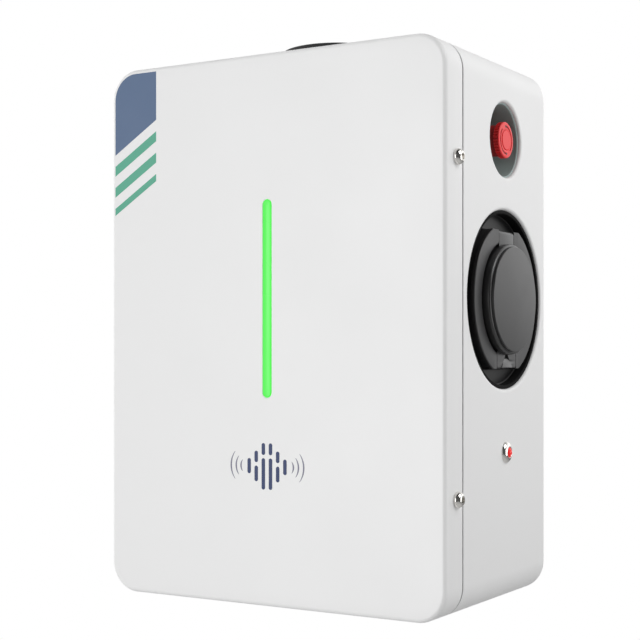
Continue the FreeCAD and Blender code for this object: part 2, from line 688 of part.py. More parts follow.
def frontCover():
    body = newBody("front_cover")
    shell = pad(body, rounded(newSketch(body, frontPlane, coverRim), "boxWidth", "boxHeight", "cornerRadius"),
                "coverDepth")
    roundEnd(body, shell, "boxDepth", "frontEdge")
    inside = rounded(newSketch(body, frontPlane, coverRim), "boxWidth - 2 * coverWall",
                     "boxHeight - 2 * coverWall", "cornerRadius - coverWall")
    pocket(body, inside, "coverDepth - coverFront", back=True)
    bar = newSketch(body, frontPlane, "boxDepth + cutPast", y="barCentre")
    pocket(body, slot(bar, "barWidth", "barLength"), "coverFront + 2 * cutPast")
    sketch = newSketch(body, sidePlane)
    for end in ("", "-"):
        circle(sketch, f"{end}{screwUp}", screwForward, "screwRadius + screwHoleClearance")
    pocket(body, sketch)
    # posts that carry the light board and the reader board
    posts = newSketch(body, frontPlane, "boxDepth - coverFront / 2")
    for end in ("", "-"):
        circle(posts, "0", f"barCentre + {end}({lightBoardHalf} - coverBossRadius)", "coverBossRadius")
        for side in ("", "-"):
            circle(posts, f"{side}(readerWidth / 2 - readerPostInset)",
                   f"-readerCentre + {end}(readerHeight / 2 - readerPostInset)", "coverBossRadius")
    pad(body, posts, "boardStand + coverFront / 2", back=True)
    finished(inBox(body), "front_cover")


def slot(sketch, width, length):
    """An upright slot with round ends about the sketch's middle."""
    half, straight = f"({width}) / 2", f"(({length}) - ({width})) / 2"
    return outline(sketch, [
        (half, f"-{straight}"), (half, straight, half, 1), ("0", f"{straight} + {half}", half, 1),
        (f"-{half}", straight), (f"-{half}", f"-{straight}", half, 1),
        ("0", f"-{straight} - {half}", half, 1),
    ])


def coverSeal():
    body = newBody("cover_seal")
    ring = boxRing(newSketch(body, frontPlane, housingDepth), "sealInset", "coverWall + collarGap - seat")
    pad(body, ring, "sealGap")
    finished(inBox(body), "cover_seal")


def buttonScrew(name):
    """A button head screw that stands on its own Z, with its seat at the origin."""
    body = turned(name, [
        ("0", "-screwLength"), ("screwRadius - runningPlay", "-screwLength"),
        ("screwRadius - runningPlay", "0"), ("screwHeadRadius", "0"),
        ("screwHeadRadius", "screwHeadFoot", "screwHeadRound", 1),
        ("screwHexRim", "screwHeadHeight"), ("0", "screwHeadHeight"),
    ])
    pocket(body, hexagon(newSketch(body, frontPlane, "screwHeadHeight"), "screwHexHalf"), "screwHexDepth")
    return body


def coverScrews():
    screws = []
    for side, turn in (("", facingSide), ("-", FreeCAD.Rotation(vector(0, 1, 0), -90))):
        for end in ("", "-"):
            screw = buttonScrew("cover_screw")
            put(screw, f"{side}boxWidth / 2", f"-wallGap - {screwForward}", f"{end}{screwUp}", turn)
            screws.append(screw)
    grouped("cover_screws", screws)


def lightBar():
    lens = newBody("light_bar_lens")
    back = "boxDepth - coverFront"
    rim = slot(newSketch(lens, frontPlane, back, y="barCentre"), "barWidth + 2 * barFlange",
               "barLength + 2 * barFlange")
    pad(lens, rim, "barFlangeDepth", back=True)
    face = slot(newSketch(lens, frontPlane, f"{back} - barFlangeDepth / 2", y="barCentre"),
                "barWidth - 2 * seat", "barLength - 2 * seat")
    pad(lens, face, "coverFront + barFlangeDepth / 2")
    finished(inBox(lens), "light_bar_lens")

    board = newBody("light_bar_board")
    front = "boxDepth - coverFront - boardStand"
    sheet = newSketch(board, frontPlane, front, y="barCentre")
    pad(board, rectangle(sheet, "-lightBoardWidth / 2", f"-{lightBoardHalf}", "lightBoardWidth / 2",
                         lightBoardHalf), "boardThickness", back=True)
    emitter = newSketch(board, frontPlane, f"{front} - boardThickness / 2", y="barCentre")
    low = "-(lightCount - 1) / 2 * lightPitch - emitterSide / 2"
    first = pad(board, rectangle(emitter, "-emitterSide / 2", low, "emitterSide / 2", f"{low} + emitterSide"),
                "emitterHeight + boardThickness / 2")
    pattern = board.newObject("PartDesign::LinearPattern", "emitters")
    pattern.Originals = [first]
    pattern.Direction = (emitter, ["V_Axis"])
    bind(pattern, "Occurrences", "lightCount")
    bind(pattern, "Length", "(lightCount - 1) * lightPitch")
    board.Tip = pattern
    finished(inBox(board), "light_bar_board")


def readerBoard():
    body = newBody("reader_board")
    front = "boxDepth - coverFront - boardStand"
    sheet = newSketch(body, frontPlane, front, y="-readerCentre")
    pad(body, rounded(sheet, "readerWidth", "readerHeight", "coverBossRadius"), "boardThickness", back=True)
    # the printed coil's core frame on the board's face
    coil = newSketch(body, frontPlane, f"{front} - boardThickness / 2", y="-readerCentre")
    rounded(coil, "coilWidth", "coilHeight", "coilCorner")
    rounded(coil, "coilWidth - 2 * coilTrack", "coilHeight - 2 * coilTrack", "coilCorner - coilTrack")
    pad(body, coil, "boardThickness / 2 + seat")
    finished(inBox(body), "reader_board")


def wallBracket():
    body = newBody("wall_bracket")
    sheet = rounded(newSketch(body, frontPlane), "bracketWidth", "bracketHeight", "bracketCorner")
    pad(body, sheet, "bracketThickness")
    seat = "bracketHeight / 2 - hookDrop"
    hook = newSketch(body, sidePlane)
    outline(hook, [
        (seat, "bracketThickness / 2"), (seat, "hookReach"), ("bracketHeight / 2", "hookReach"),
        ("bracketHeight / 2", "hookReach - bracketThickness"),
        (f"{seat} + bracketThickness", "hookReach - bracketThickness"),
        (f"{seat} + bracketThickness", "bracketThickness / 2"),
    ])
    pad(body, hook, "hookWidth", middle=True)
    bosses = newSketch(body, frontPlane, "bracketThickness / 2")
    threads = newSketch(body, frontPlane, "wallGap + recessDepth")
    for side in ("", "-"):
        circle(bosses, f"{side}lockSpan / 2", "-lockDrop", "lockBossRadius")
        circle(threads, f"{side}lockSpan / 2", "-lockDrop", "lockRadius + runningPlay")
    pad(body, bosses, "wallGap + recessDepth - bracketThickness / 2")
    pocket(body, threads, "wallGap + recessDepth + cutPast")
    holes = newSketch(body, frontPlane, "bracketThickness + cutPast")
    for side in ("", "-"):
        for end in ("", "-"):
            circle(holes, f"{side}wallHoleSpanX / 2", f"{end}wallHoleSpanZ / 2", "wallHoleRadius")
    pocket(body, holes, "bracketThickness + 2 * cutPast")
    # a wide window that saves weight and lets a cable through from behind
    window = newSketch(body, frontPlane, "bracketThickness + cutPast")
    rounded(window, "windowWidth", "windowHeight", "bracketCorner")
    pocket(body, window, "bracketThickness + 2 * cutPast")
    finished(put(body, turn=facingFront), "wall_bracket")


def capScrew(name, radius, head, height, length):
    """A cap screw that stands on its own Z, with its seat at the origin."""
    body = turned(name, [
        ("0", f"-({length})"), (f"{radius} - runningPlay", f"-({length})"), (f"{radius} - runningPlay", "0"),
        (head, "0"), (head, f"{height} * capEdgeShare"), (f"{head} * capFaceShare", height), ("0", height),
    ])
    pocket(body, hexagon(newSketch(body, frontPlane, height), f"{radius} * capHexShare"),
           f"{height} * capEdgeShare")
    return body


def bracketScrews():
    screws = []
    for side in ("", "-"):
        screw = capScrew("bracket_screw", "lockRadius", "lockHeadRadius", "lockHeadHeight", "lockLength")
        put(screw, f"{side}lockSpan / 2", "-wallGap - recessDepth - backWall", "-lockDrop", facingFront)
        screws.append(screw)
    grouped("bracket_screws", screws)


def mountingPlate():
    body = newBody("mounting_plate")
    sheet = newSketch(body, frontPlane, "postHeight", x="postCentreX")
    rounded(sheet, "postSpanX + 2 * plateMargin", "postSpanZ + 2 * plateMargin", "plateMargin / 2")
    for side in ("", "-"):
        for end in ("", "-"):
            circle(sheet, f"{side}postSpanX / 2", f"{end}postSpanZ / 2", "plateScrewRadius + seat")
        circle(sheet, f"{side}lockSpan / 2 - postCentreX", "-lockDrop", "lockHeadRadius + lockAccess")
    pad(body, sheet, "plateThickness")
    finished(inBox(body), "mounting_plate")
    screws = []
    for side in ("", "-"):
        for end in ("", "-"):
            screw = capScrew("plate_screw", "plateScrewRadius", "plateScrewHead", "plateScrewHeadHeight",
                             "plateScrewLength - plateThickness")
            put(screw, f"postCentreX + {side}postSpanX / 2", f"-wallGap - {plateFront}",
                f"{end}postSpanZ / 2", facingFront)
            screws.append(screw)
    grouped("plate_screws", screws)


def rail():
    body = newBody("mounting_rail")
    lip, leg, top = "railWidth / 2", "railBase / 2", f"{plateFront} + railHeight"
    sketch = newSketch(body, sidePlane)
    corners = [
        (f"-{leg}", plateFront), (leg, plateFront), (leg, f"{top} - railSheet"), (lip, f"{top} - railSheet"),
        (lip, top), (f"{leg} - railSheet", top), (f"{leg} - railSheet", f"{plateFront} + railSheet"),
        (f"-({leg} - railSheet)", f"{plateFront} + railSheet"), (f"-({leg} - railSheet)", top),
        (f"-{lip}", top), (f"-{lip}", f"{top} - railSheet"), (f"-{leg}", f"{top} - railSheet"),
    ]
    outline(sketch, corners)
    pad(body, sketch, "railLength", middle=True)
    finished(put(body, "postCentreX", "-wallGap", railCentre, facingFront), "mounting_rail")


def module(label, left, width):
    """A rail module: shoulders with the terminals, and a nose between them."""
    body = newBody(label)
    foot = f"{plateFront} + railHeight"
    high, nose = "moduleHeight / 2", "moduleNoseHeight / 2"
    sketch = newSketch(body, sidePlane)
    outline(sketch, [
        (f"-{high}", foot), (high, foot), (high, f"{foot} + moduleShoulder"),
        (nose, f"{foot} + moduleShoulder"), (nose, f"{foot} + moduleNose"),
        (f"-{nose}", f"{foot} + moduleNose"), (f"-{nose}", f"{foot} + moduleShoulder"),
        (f"-{high}", f"{foot} + moduleShoulder"),
    ])
    pad(body, sketch, width)
    put(body, left, "-wallGap", railCentre, facingFront)
    return body


def railModules():
    left = "(postCentreX - railLength / 2 + moduleGap)"
    finished(module("contactor", left, "contactorWidth"), "contactor")
    second = f"{left} + contactorWidth + moduleGap"
    residual = module("residual_current_unit", second, "residualWidth")
    lever = newSketch(residual, frontPlane, f"{plateFront} + railHeight + moduleNose - cutPast")
    rectangle(lever, "residualWidth / 2 - leverHalfWidth", "-leverHalfHeight",
              "residualWidth / 2 + leverHalfWidth", "leverHalfHeight")
    pad(residual, lever, "leverRise + cutPast")
    finished(residual, "residual_current_unit")
    third = f"{second} + residualWidth + moduleGap"
    block = newBody("terminal_block")
    foot = f"{plateFront} + railHeight"
    rise = newSketch(block, sidePlane)
    outline(rise, [
        ("-moduleNoseHeight / 2", foot), ("moduleNoseHeight / 2", foot),
        ("moduleNoseHeight / 2", f"{foot} + terminalShoulder"),
        ("moduleNoseHeight / 4", f"{foot} + moduleShoulder"),
        ("-moduleNoseHeight / 4", f"{foot} + moduleShoulder"),
        ("-moduleNoseHeight / 2", f"{foot} + terminalShoulder"),
    ])
    pad(block, rise, "terminalWidth")
    step = "(terminalWidth / terminalCount)"
    well = newSketch(block, frontPlane, f"{foot} + moduleShoulder + cutPast")
    for end in ("", "-"):
        circle(well, f"{step} / 2", f"{end}moduleNoseHeight / 8", "terminalPocket")
    first = pocket(block, well, "terminalWell + cutPast")
    pattern = block.newObject("PartDesign::LinearPattern", "wells")
    pattern.Originals = [first]
    pattern.Direction = (well, ["H_Axis"])
    bind(pattern, "Occurrences", "terminalCount")
    bind(pattern, "Length", f"terminalWidth - {step}")
    block.Tip = pattern
    put(block, third, "-wallGap", railCentre, facingFront)
    finished(block, "terminal_block")


def controlBoard():
    body = newBody("control_board")
    back = f"({plateFront} + standoffHeight)"
    sheet = newSketch(body, frontPlane, back, x="postCentreX", y="controlCentre")
    rounded(sheet, "controlWidth", "controlHeight", "standoffInset / 2")
    pad(body, sheet, "boardThickness")
    for kind in boardParts:
        sketch = newSketch(body, frontPlane, f"{back} + boardThickness / 2", x="postCentreX",
                           y="controlCentre")
        rectangle(sketch, f"{kind}X", f"{kind}Y", f"{kind}X + {kind}Width", f"{kind}Y + {kind}Height")
        pad(body, sketch, f"{kind}Rise + boardThickness / 2")
    finished(inBox(body), "control_board")
    stands = []
    for side in ("", "-"):
        for end in ("", "-"):
            stands.append(rod("standoff", f"postCentreX + {side}(controlWidth / 2 - standoffInset)",
                              f"-wallGap - {plateFront}",
                              f"controlCentre + {end}(controlHeight / 2 - standoffInset)",
                              "standoffRadius", "standoffHeight", facingFront))
    grouped("board_standoffs", stands)
    sensor = newBody("current_sensor")
    ring = newSketch(sensor, frontPlane, f"{back} + boardThickness", x="postCentreX + sensorRight",
                     y="controlCentre - sensorDown")
    circle(ring, "0", "0", "sensorOuter")
    circle(ring, "0", "0", "sensorInner")
    pad(sensor, ring, "sensorDepth")
    finished(inBox(sensor), "current_sensor")


def antenna():
    puck = turned("antenna", [
        ("puckStudBore", "-puckStudLength"), ("puckStudRadius", "-puckStudLength"), ("puckStudRadius", "0"),
        ("puckRadius - puckFoot", "0"), ("puckRadius - puckFoot", "puckFoot"), ("puckRadius", "puckFoot"),
        ("puckRadius", "puckHeight - puckEdge", "puckEdge", 1),
        ("puckRadius - puckEdge", "puckHeight"), ("0", "puckHeight"), ("0", "puckHeight / 2"),
        ("puckStudBore", "puckHeight / 2"),
    ])
    finished(put(puck, "0", lineY, "boxHeight / 2"), "antenna")
    nut = newBody("antenna_nut")
    ring = newSketch(nut, frontPlane)
    hexagon(ring, "puckNutRadius")
    circle(ring, "0", "0", "puckStudRadius + runningPlay")
    pad(nut, ring, "puckNutHeight", back=True)
    finished(put(nut, "0", lineY, "boxHeight / 2 - housingWall"), "antenna_nut")


def hexRing(name, half, bore, height):
    """A hexagonal ring that rises from its own XY plane."""
    body = newBody(name)
    ring = newSketch(body, frontPlane)
    hexagon(ring, half)
    circle(ring, "0", "0", bore)
    pad(body, ring, height)
    return body


def supplyGland():
    def hang(thing, label):
        finished(put(thing, "glandX", "-wallGap - glandForward", "-boxHeight / 2", facingDown), label)

    body = hexRing("gland_body", "glandHexHalf", "glandBore", "glandFlange")
    for length, back in (("glandFlange + glandSkirt", False), ("glandInside", True)):
        barrel = newSketch(body, frontPlane)
        circle(barrel, "0", "0", "glandThread")
        circle(barrel, "0", "0", "glandBore")
        pad(body, barrel, length, back=back)
    hang(body, "gland_body")
    tip = "(glandFlange + glandSkirt + seat)"
    ring = turned("gland_seal", [
        ("cableRadius", f"{tip} - sealRingLength"), ("glandBore - seat", f"{tip} - sealRingLength"),
        ("glandBore - seat", tip), ("cableRadius", tip),
    ])
    hang(ring, "gland_seal")
    cap = newBody("gland_cap")
    start = newSketch(cap, frontPlane, "glandFlange + capGap")
    hexagon(start, "capHexHalf")
    circle(start, "0", "0", "glandThread + seat")
    pad(cap, start, f"{tip} - glandFlange - capGap")
    lip = newSketch(cap, frontPlane, tip)
    hexagon(lip, "capHexHalf")
    circle(lip, "0", "0", "capMouth")
    pad(cap, lip, "capLip")
    crown = newSketch(cap, frontPlane, f"{tip} + capLip")
    circle(crown, "0", "0", "glandHexHalf - capLip")
    circle(crown, "0", "0", "capMouth")
    pad(cap, crown, "capLip")
    hang(cap, "gland_cap")
    nut = hexRing("gland_nut", "glandHexHalf", "glandThread + runningPlay", "glandNutHeight")
    finished(put(nut, "glandX", "-wallGap - glandForward", "-boxHeight / 2 + housingWall"), "gland_nut")


def emergencyStop():
    def side(thing, label):
        return finished(onSide(thing, "stopCentre"), label)

    ledge = "-stopFlare - stopLedge"
    outer = f"{stopBore} + stopCupWall"
    lip = "-stopBossDepth"
    side(turned("stop_insert", [
        ("stopBarrel + seat", "-stopCupDepth"), (stopBore, "-stopCupDepth"), (stopBore, ledge),
        (outer, ledge), (outer, lip), ("stopBossRadius", lip), ("stopBossRadius", f"{lip} - stopCupWall"),
        (outer, f"{lip} - stopCupWall"), (outer, "-stopCupDepth - stopCupFloor"),
        ("stopBarrel + seat", "-stopCupDepth - stopCupFloor"),
    ]), "stop_insert")
    guide = "stopStem + runningPlay"
    collarTop = "-stopCupDepth + stopCollarHeight"
    side(turned("stop_collar", [
        (guide, "-stopBarrelEnd"), ("stopBarrel", "-stopBarrelEnd"), ("stopBarrel", "-stopCupDepth"),
        ("stopCollarRadius", "-stopCupDepth"), ("stopCollarRadius", collarTop), ("stopTube", collarTop),
        ("stopTube", "-stopTubeTop"), (guide, "-stopTubeTop"),
    ]), "stop_collar")
    nut = hexRing("stop_nut", "stopNutRadius", "stopBarrel + runningPlay", "stopNutHeight")
    put(nut, "boxWidth / 2 - stopCupDepth - stopCupFloor - stopNutHeight", lineY, "stopCentre", facingSide)
    finished(nut, "stop_nut")
    contact = newBody("stop_contact_block")
    sketch = newSketch(contact, frontPlane, "-stopBarrelEnd")
    rounded(sketch, "stopBlockSide", "stopBlockSide", "stopBlockCorner")
    pad(contact, sketch, "stopBlockDepth", back=True)
    bore = circle(newSketch(contact, frontPlane, "-stopBarrelEnd"), "0", "0", "stopStem + movingGap")
    pocket(contact, bore, "stopBlockDepth - stopBlockFloor")
    side(contact, "stop_contact_block")

    stemTop = "-stopHeadDepth + stopStemSocket - movingGap"
    side(turned("stop_stem", [
        ("0", "-stopStemEnd"), ("stopStem", "-stopStemEnd"), ("stopStem", stemTop), ("0", stemTop),
    ]), "stop_stem")

    # head and skirt in one piece: a groove round the middle disc and notches round the edge
    head = turned("stop_head", [
        ("0", "-stopHeadDepth + stopStemSocket"),
        ("stopStem + runningPlay", "-stopHeadDepth + stopStemSocket"),
        ("stopStem + runningPlay", "-stopHeadDepth"), ("stopSkirtRadius - stopSkirtWall", "-stopHeadDepth"),
        ("stopSkirtRadius - stopSkirtWall", "-stopSkirtEnd"), ("stopSkirtRadius", "-stopSkirtEnd"),
        ("stopSkirtRadius", "-stopHeadDepth"), ("stopHeadRadius", "-stopHeadDepth + stopHeadUndercut"),
        ("stopHeadRadius", "-stopHeadChamfer"), ("stopHeadRadius - stopHeadChamfer", "0"),
        ("stopRing + stopGrooveWidth", "0"),
        ("stopRing + stopGrooveWidth", "-stopGroove"), ("stopRing", "-stopGroove"), ("stopRing", "0"),
        ("stopDisc + stopGrooveWidth", "0"), ("stopDisc + stopGrooveWidth", "-stopGroove"),
        ("stopDisc", "-stopGroove"), ("stopDisc", "stopDiscProud"), ("0", "stopDiscProud"),
    ])
    notch = newSketch(head, frontPlane, "-stopGripStart")
    circle(notch, "stopHeadRadius", "0", "stopGripRadius")
    first = pocket(head, notch, "stopGripLength")
    pattern = head.newObject("PartDesign::PolarPattern", "grips")
    pattern.Originals = [first]
    pattern.Axis = (notch, ["N_Axis"])
    pattern.Angle = 360
    bind(pattern, "Occurrences", "stopGrips")
    head.Tip = pattern
    side(head, "stop_head")


def socketCup():
    opening = "tubeOuter + tubeRoom"
    body = turned("socket_cup", [
        (opening, "-cupDepth - cupFloor"), (cupOuter, "-cupDepth - cupFloor"),
        (cupOuter, "-housingWall - cupLipDepth"), (f"{cupOuter} + cupLip", "-housingWall - cupLipDepth"),
        (f"{cupOuter} + cupLip", "-housingWall"), (cupOuter, "-housingWall"), (cupOuter, "-cupFront"),
        (cupInner, "-cupFront"), (cupInner, "-dishRim", "dishRadius", -1), ("dishInner", "-dishFloor"),
        ("dishInner", "-cupDepth"), (opening, "-cupDepth"),
    ])
    # the pocket round the flange leaves a dished shelf above and below it
    across = f"sqrt({cupInner} ^ 2 - slotHalf ^ 2)"
    sketch = newSketch(body, frontPlane)
    outline(sketch, [
        (f"-{across}", "-slotHalf"), (across, "-slotHalf", cupInner, 1), (cupInner, "0", cupInner, 1),
        (across, "slotHalf"), (f"-{across}", "slotHalf", cupInner, 1), (f"-{cupInner}", "0", cupInner, 1),
    ])
    pocket(body, sketch, "cupDepth")
    holes = newSketch(body, frontPlane, "-cupDepth + cutPast")
    for x, y in flangeScrewPlaces():
        circle(holes, x, y, "flangeScrewRadius + seat")
    pocket(body, holes, "cupFloor + 2 * cutPast")
    finished(onSide(body, "socketCentre"), "socket_cup")


def flangeScrewPlaces():
    half = f"(({flangeRadius} - flangeScrewInset) / sqrt(2))"
    return [(f"{x}{half}", f"{y}{half}") for x in ("", "-") for y in ("", "-")]


def socketTube():
    """The tube that takes the plug, held by its collar between the flange and the cup's floor."""
    collar = "tubeOuter + tubeCollar"
    front = "-cupDepth + tubeCollarDepth - seat"
    body = turned("socket_tube", [
        ("mouthRadius", "-tubeEnd"), ("tubeOuter", "-tubeEnd"), ("tubeOuter", "-cupDepth"),
        (collar, "-cupDepth"), (collar, front), ("tubeOuter", front), ("tubeOuter", "-coveDepth"),
        ("mouthRadius", "-coveDepth"),
    ])
    lock = newSketch(body, uprightPlane, "-lockPinTop", y="-lockPinDepth")
    pocket(body, circle(lock, "0", "0", "lockPinRadius + runningPlay"),
           "lockPinTop - mouthRadius + 2 * cutPast", back=True)
    finished(onSide(body, "socketCentre"), "socket_tube")


def socketFlange():
    """The flange with its cove and its notches for the lid's arm and tab."""
    back = "-cupDepth"
    bore, step = "tubeOuter + seat", "-cupDepth + tubeCollarDepth"
    body = turned("socket_flange", [
        (f"{bore} + tubeCollar", back), (flangeRadius, back),
        (flangeRadius, "flangeProud - flangeEdge"), (f"{flangeRadius} - flangeEdge / 2", "flangeProud"),
        ("coveOuter", "flangeProud", "coveRound", -1), ("coveInner", "-coveDepth"),
        (bore, "-coveDepth"), (bore, step), (f"{bore} + tubeCollar", step),
    ])
    for end in ("", "-"):
        flat = newSketch(body, frontPlane, "flangeProud + cutPast")
        low, high = f"{end}flangeHalf", f"{end}({flangeRadius} + cutPast)"
        if end:
            low, high = high, low
        rectangle(flat, f"-{flangeRadius} - cutPast", low, f"{flangeRadius} + cutPast", high)
        pocket(body, flat, "flangeProud + cutPast + cupDepth")
        notch = newSketch(body, frontPlane, "flangeProud + cutPast")
        low, high = f"{end}notchInner", f"{end}(flangeHalf + cutPast)"
        if end:
            low, high = high, low
        rectangle(notch, "-armHalf - armGap", low, "armHalf + armGap", high)
        pocket(body, notch, "flangeProud + cutPast + notchDepth")
    pin = circle(newSketch(body, sidePlane, x="pinUp", y="-pinDepth"), "0", "0", "pinRadius + runningPlay")
    pocket(body, pin, "2 * pinHalf + 2 * seat", middle=True)
    threads = newSketch(body, frontPlane, back)
    for x, y in flangeScrewPlaces():
        circle(threads, x, y, "flangeScrewRadius")
    pocket(body, threads, "flangeScrewLength - cupFloor + cutPast", back=True)
    finished(onSide(body, "socketCentre"), "socket_flange")
    screws = []
    for x, y in flangeScrewPlaces():
        screw = capScrew("flange_screw", "flangeScrewRadius", "flangeScrewHead", "flangeScrewHeadHeight",
                         "flangeScrewLength")
        turn = FreeCAD.Rotation(vector(0, 1, 0), -90)
        put(screw, "boxWidth / 2 - cupDepth - cupFloor", f"{lineY} + {x}", f"socketCentre + {y}", turn)
        screws.append(screw)
    grouped("flange_screws", screws)


def contactPlaces():
    """The seven contacts: one in the middle, four below and beside it, two above."""
    power = [("0", "0")]
    for angle in powerAngles:
        power.append((f"powerSpan * cos({angle})", f"powerSpan * sin({angle})"))
    signal = [(f"signalSpan * cos({angle})", f"signalSpan * sin({angle})") for angle in signalAngles]
    return power, signal


def socketInsulator():
    body = newBody("socket_insulator")
    power, signal = contactPlaces()
    foot = circle(newSketch(body, frontPlane, "-tubeEnd"), "0", "0", "mouthRadius - seat")
    pad(body, foot, "tubeEnd - coreBase")
    core = newSketch(body, frontPlane, "-coreBase - cutPast")
    across = "sqrt(coreRadius ^ 2 - coreFlat ^ 2)"
    outline(core, [
        (f"-{across}", "coreFlat", "coreRadius", 1), ("-coreRadius", "0", "coreRadius", 1),
        ("0", "-coreRadius", "coreRadius", 1), ("coreRadius", "0", "coreRadius", 1), (across, "coreFlat"),
    ])
    pad(body, core, "coreBase + cutPast - coreFace")
    holes = newSketch(body, frontPlane, "-coreFace + cutPast")
    for x, y in power:
        circle(holes, x, y, "powerHole")
    for x, y in signal:
        circle(holes, x, y, "signalHole")
    pocket(body, holes, "coreBase - coreFace + cutPast")
    finished(onSide(body, "socketCentre"), "socket_insulator")
    contacts = []
    for places, hole in ((power, "powerHole"), (signal, "signalHole")):
        for x, y in places:
            sleeve = turned("contact", [
                ("0", "-coreBase"), (f"{hole} - seat", "-coreBase"), (f"{hole} - seat", "-contactFront"),
                (f"{hole} - seat - contactWall", "-contactFront"),
                (f"{hole} - seat - contactWall", "-coreBase + contactFloor"),
                ("0", "-coreBase + contactFloor"),
            ])
            put(sleeve, "boxWidth / 2", f"{lineY} + {x}", f"socketCentre + {y}", facingSide)
            contacts.append(sleeve)
    grouped("socket_contacts", contacts)


def socketLid():
    """One moulding: a domed cap with a waist, the hinge arm above and the lift tab below."""
    face = "lidProud"
    waistTop = "-lidWaistPlace + lidWaistWidth"
    domeRadius = "((lidRadius - lidEdge) ^ 2 + lidDome ^ 2) / (2 * lidDome)"
    body = turned("socket_lid", [
        ("lidHollow", "-lidFoot"), ("lidRadius", "-lidFoot"), ("lidRadius", "-lidWaistPlace"),
        ("lidRadius - lidWaist", "-lidWaistPlace + lidWaist / 2"),
        ("lidRadius - lidWaist", f"{waistTop} - lidWaist / 2"), ("lidRadius", waistTop),
        ("lidRadius", f"{face} - lidEdge", "lidEdge", 1), ("lidRadius - lidEdge", face, domeRadius, 1),
        ("0", f"{face} + lidDome"), ("0", f"{face} - lidShell"), ("lidHollow", f"{face} - lidShell"),
    ])
    inner = "(lidRadius - armRoot)"
    arm = newSketch(body, sidePlane)
    outline(arm, [
        (inner, "-lidFoot"), ("lidRadius", "-lidFoot"), ("pinUp - armKnee", "-armBack"),
        ("flangeHalf - armTop", "-armBack"),
        ("flangeHalf - armTop", "flangeProud - armChamfer"),
        ("flangeHalf - armTop - armChamfer", "flangeProud"),
        (inner, "flangeProud"),
    ])
    pad(body, arm, "2 * armHalf", middle=True)
    tab = newSketch(body, sidePlane)
    outline(tab, [
        (f"-{inner}", "flangeProud"), ("-flangeHalf + armTop + armChamfer", "flangeProud"),
        ("-flangeHalf + armTop", "flangeProud - armChamfer"), ("-flangeHalf + armTop", "-lidFoot"),
        (f"-{inner}", "-lidFoot"),
    ])
    pad(body, tab, "2 * armHalf", middle=True)
    # the lift point: a low pyramid on the tab
    low = newSketch(body, frontPlane, "flangeProud - seat", y="-(lidRadius + flangeHalf) / 2")
    reach = "((flangeHalf - lidRadius) / 2 - armTop)"
    outline(low, [("-tabPointHalf", f"-{reach}"), ("tabPointHalf", f"-{reach}"), ("0", f"{reach}")])
    high = newSketch(body, frontPlane, "flangeProud + tabPeak", y="-(lidRadius + flangeHalf) / 2")
    outline(high, [("-tabTipHalf", f"{reach} - 2 * tabTipHalf"), ("tabTipHalf", f"{reach} - 2 * tabTipHalf"),
                   ("0", f"{reach} - tabTipHalf")])
    point = body.newObject("PartDesign::AdditiveLoft", "liftPoint")
    point.Profile = low
    point.Sections = [high]
    point.Ruled = True
    # the spring's slot under the arm, and the bore for the pin
    slotSketch = newSketch(body, frontPlane, "-armBack - cutPast")
    rectangle(slotSketch, "-springHalf - seat", "pinUp - springRadius - springWire - movingGap",
              "springHalf + seat", "flangeHalf")
    pocket(body, slotSketch, "armBack + cutPast - springSkin", back=True)
    bore = newSketch(body, sidePlane, x="pinUp", y="-pinDepth")
    pocket(body, circle(bore, "0", "0", "pinRadius + runningPlay"), "2 * armHalf + 2 * cutPast", middle=True)
    finished(onSide(body, "socketCentre"), "socket_lid")

    seal = turned("lid_seal", [
        ("lidRadius - lidSealInset - lidSealWidth", "-lidFoot - lidSealHeight"),
        ("lidRadius - lidSealInset", "-lidFoot - lidSealHeight"), ("lidRadius - lidSealInset", "-lidFoot"),
        ("lidRadius - lidSealInset - lidSealWidth", "-lidFoot"),
    ])
    finished(onSide(seal, "socketCentre"), "lid_seal")
    pin = rod("lid_pin", "boxWidth / 2 - pinDepth", f"{lineY} - pinHalf", "socketCentre + pinUp", "pinRadius",
              "2 * pinHalf", FreeCAD.Rotation(vector(1, 0, 0), -90))
    finished(pin, "lid_pin")
    helix = doc.addObject("Part::Helix", "spring_path")
    bind(helix, "Radius", "springRadius")
    bind(helix, "Pitch", "springPitch")
    bind(helix, "Height", "2 * springHalf - 2 * springWire - 2 * seat")
    wire = doc.addObject("Part::Circle", "spring_section")
    bind(wire, "Radius", "springWire")
    put(wire, "springRadius", turn=facingFront)
    coil = doc.addObject("Part::Sweep", "lid_spring")
    coil.Sections = [wire]
    coil.Spine = (helix, ["Edge1"])
    coil.Solid = True
    coil.Frenet = True
    put(coil, "boxWidth / 2 - pinDepth", f"{lineY} - springHalf + springWire + seat", "socketCentre + pinUp",
        FreeCAD.Rotation(vector(1, 0, 0), -90))
    finished(coil, "lid_spring")


def lockActuator():
    body = newBody("lock_actuator")
    sketch = newSketch(body, sidePlane)
    outline(sketch, [
        ("motorFoot", "-motorFront"), ("motorFoot", "-motorBack"), ("motorTop - motorCut", "-motorBack"),
        ("motorTop", "-motorBack + motorCut"), ("motorTop", "-motorFront"),
    ])
    pad(body, sketch, "2 * motorHalf", middle=True)
    bore = newSketch(body, uprightPlane, "-motorFoot", y="-lockPinDepth")
    pocket(body, circle(bore, "0", "0", "lockPinRadius + runningPlay"),
           "lockPinTop - motorFoot + lockPinRoom")
    finished(onSide(body, "socketCentre"), "lock_actuator")
    pin = turned("lock_pin", [
        ("0", "lockPinTip"), ("lockPinRadius - lockPinChamfer", "lockPinTip"),
        ("lockPinRadius", "lockPinTip + lockPinChamfer"),
        ("lockPinRadius", "lockPinTop"), ("0", "lockPinTop"),
    ])
    finished(put(pin, "boxWidth / 2 - lockPinDepth", lineY, "socketCentre"), "lock_pin")


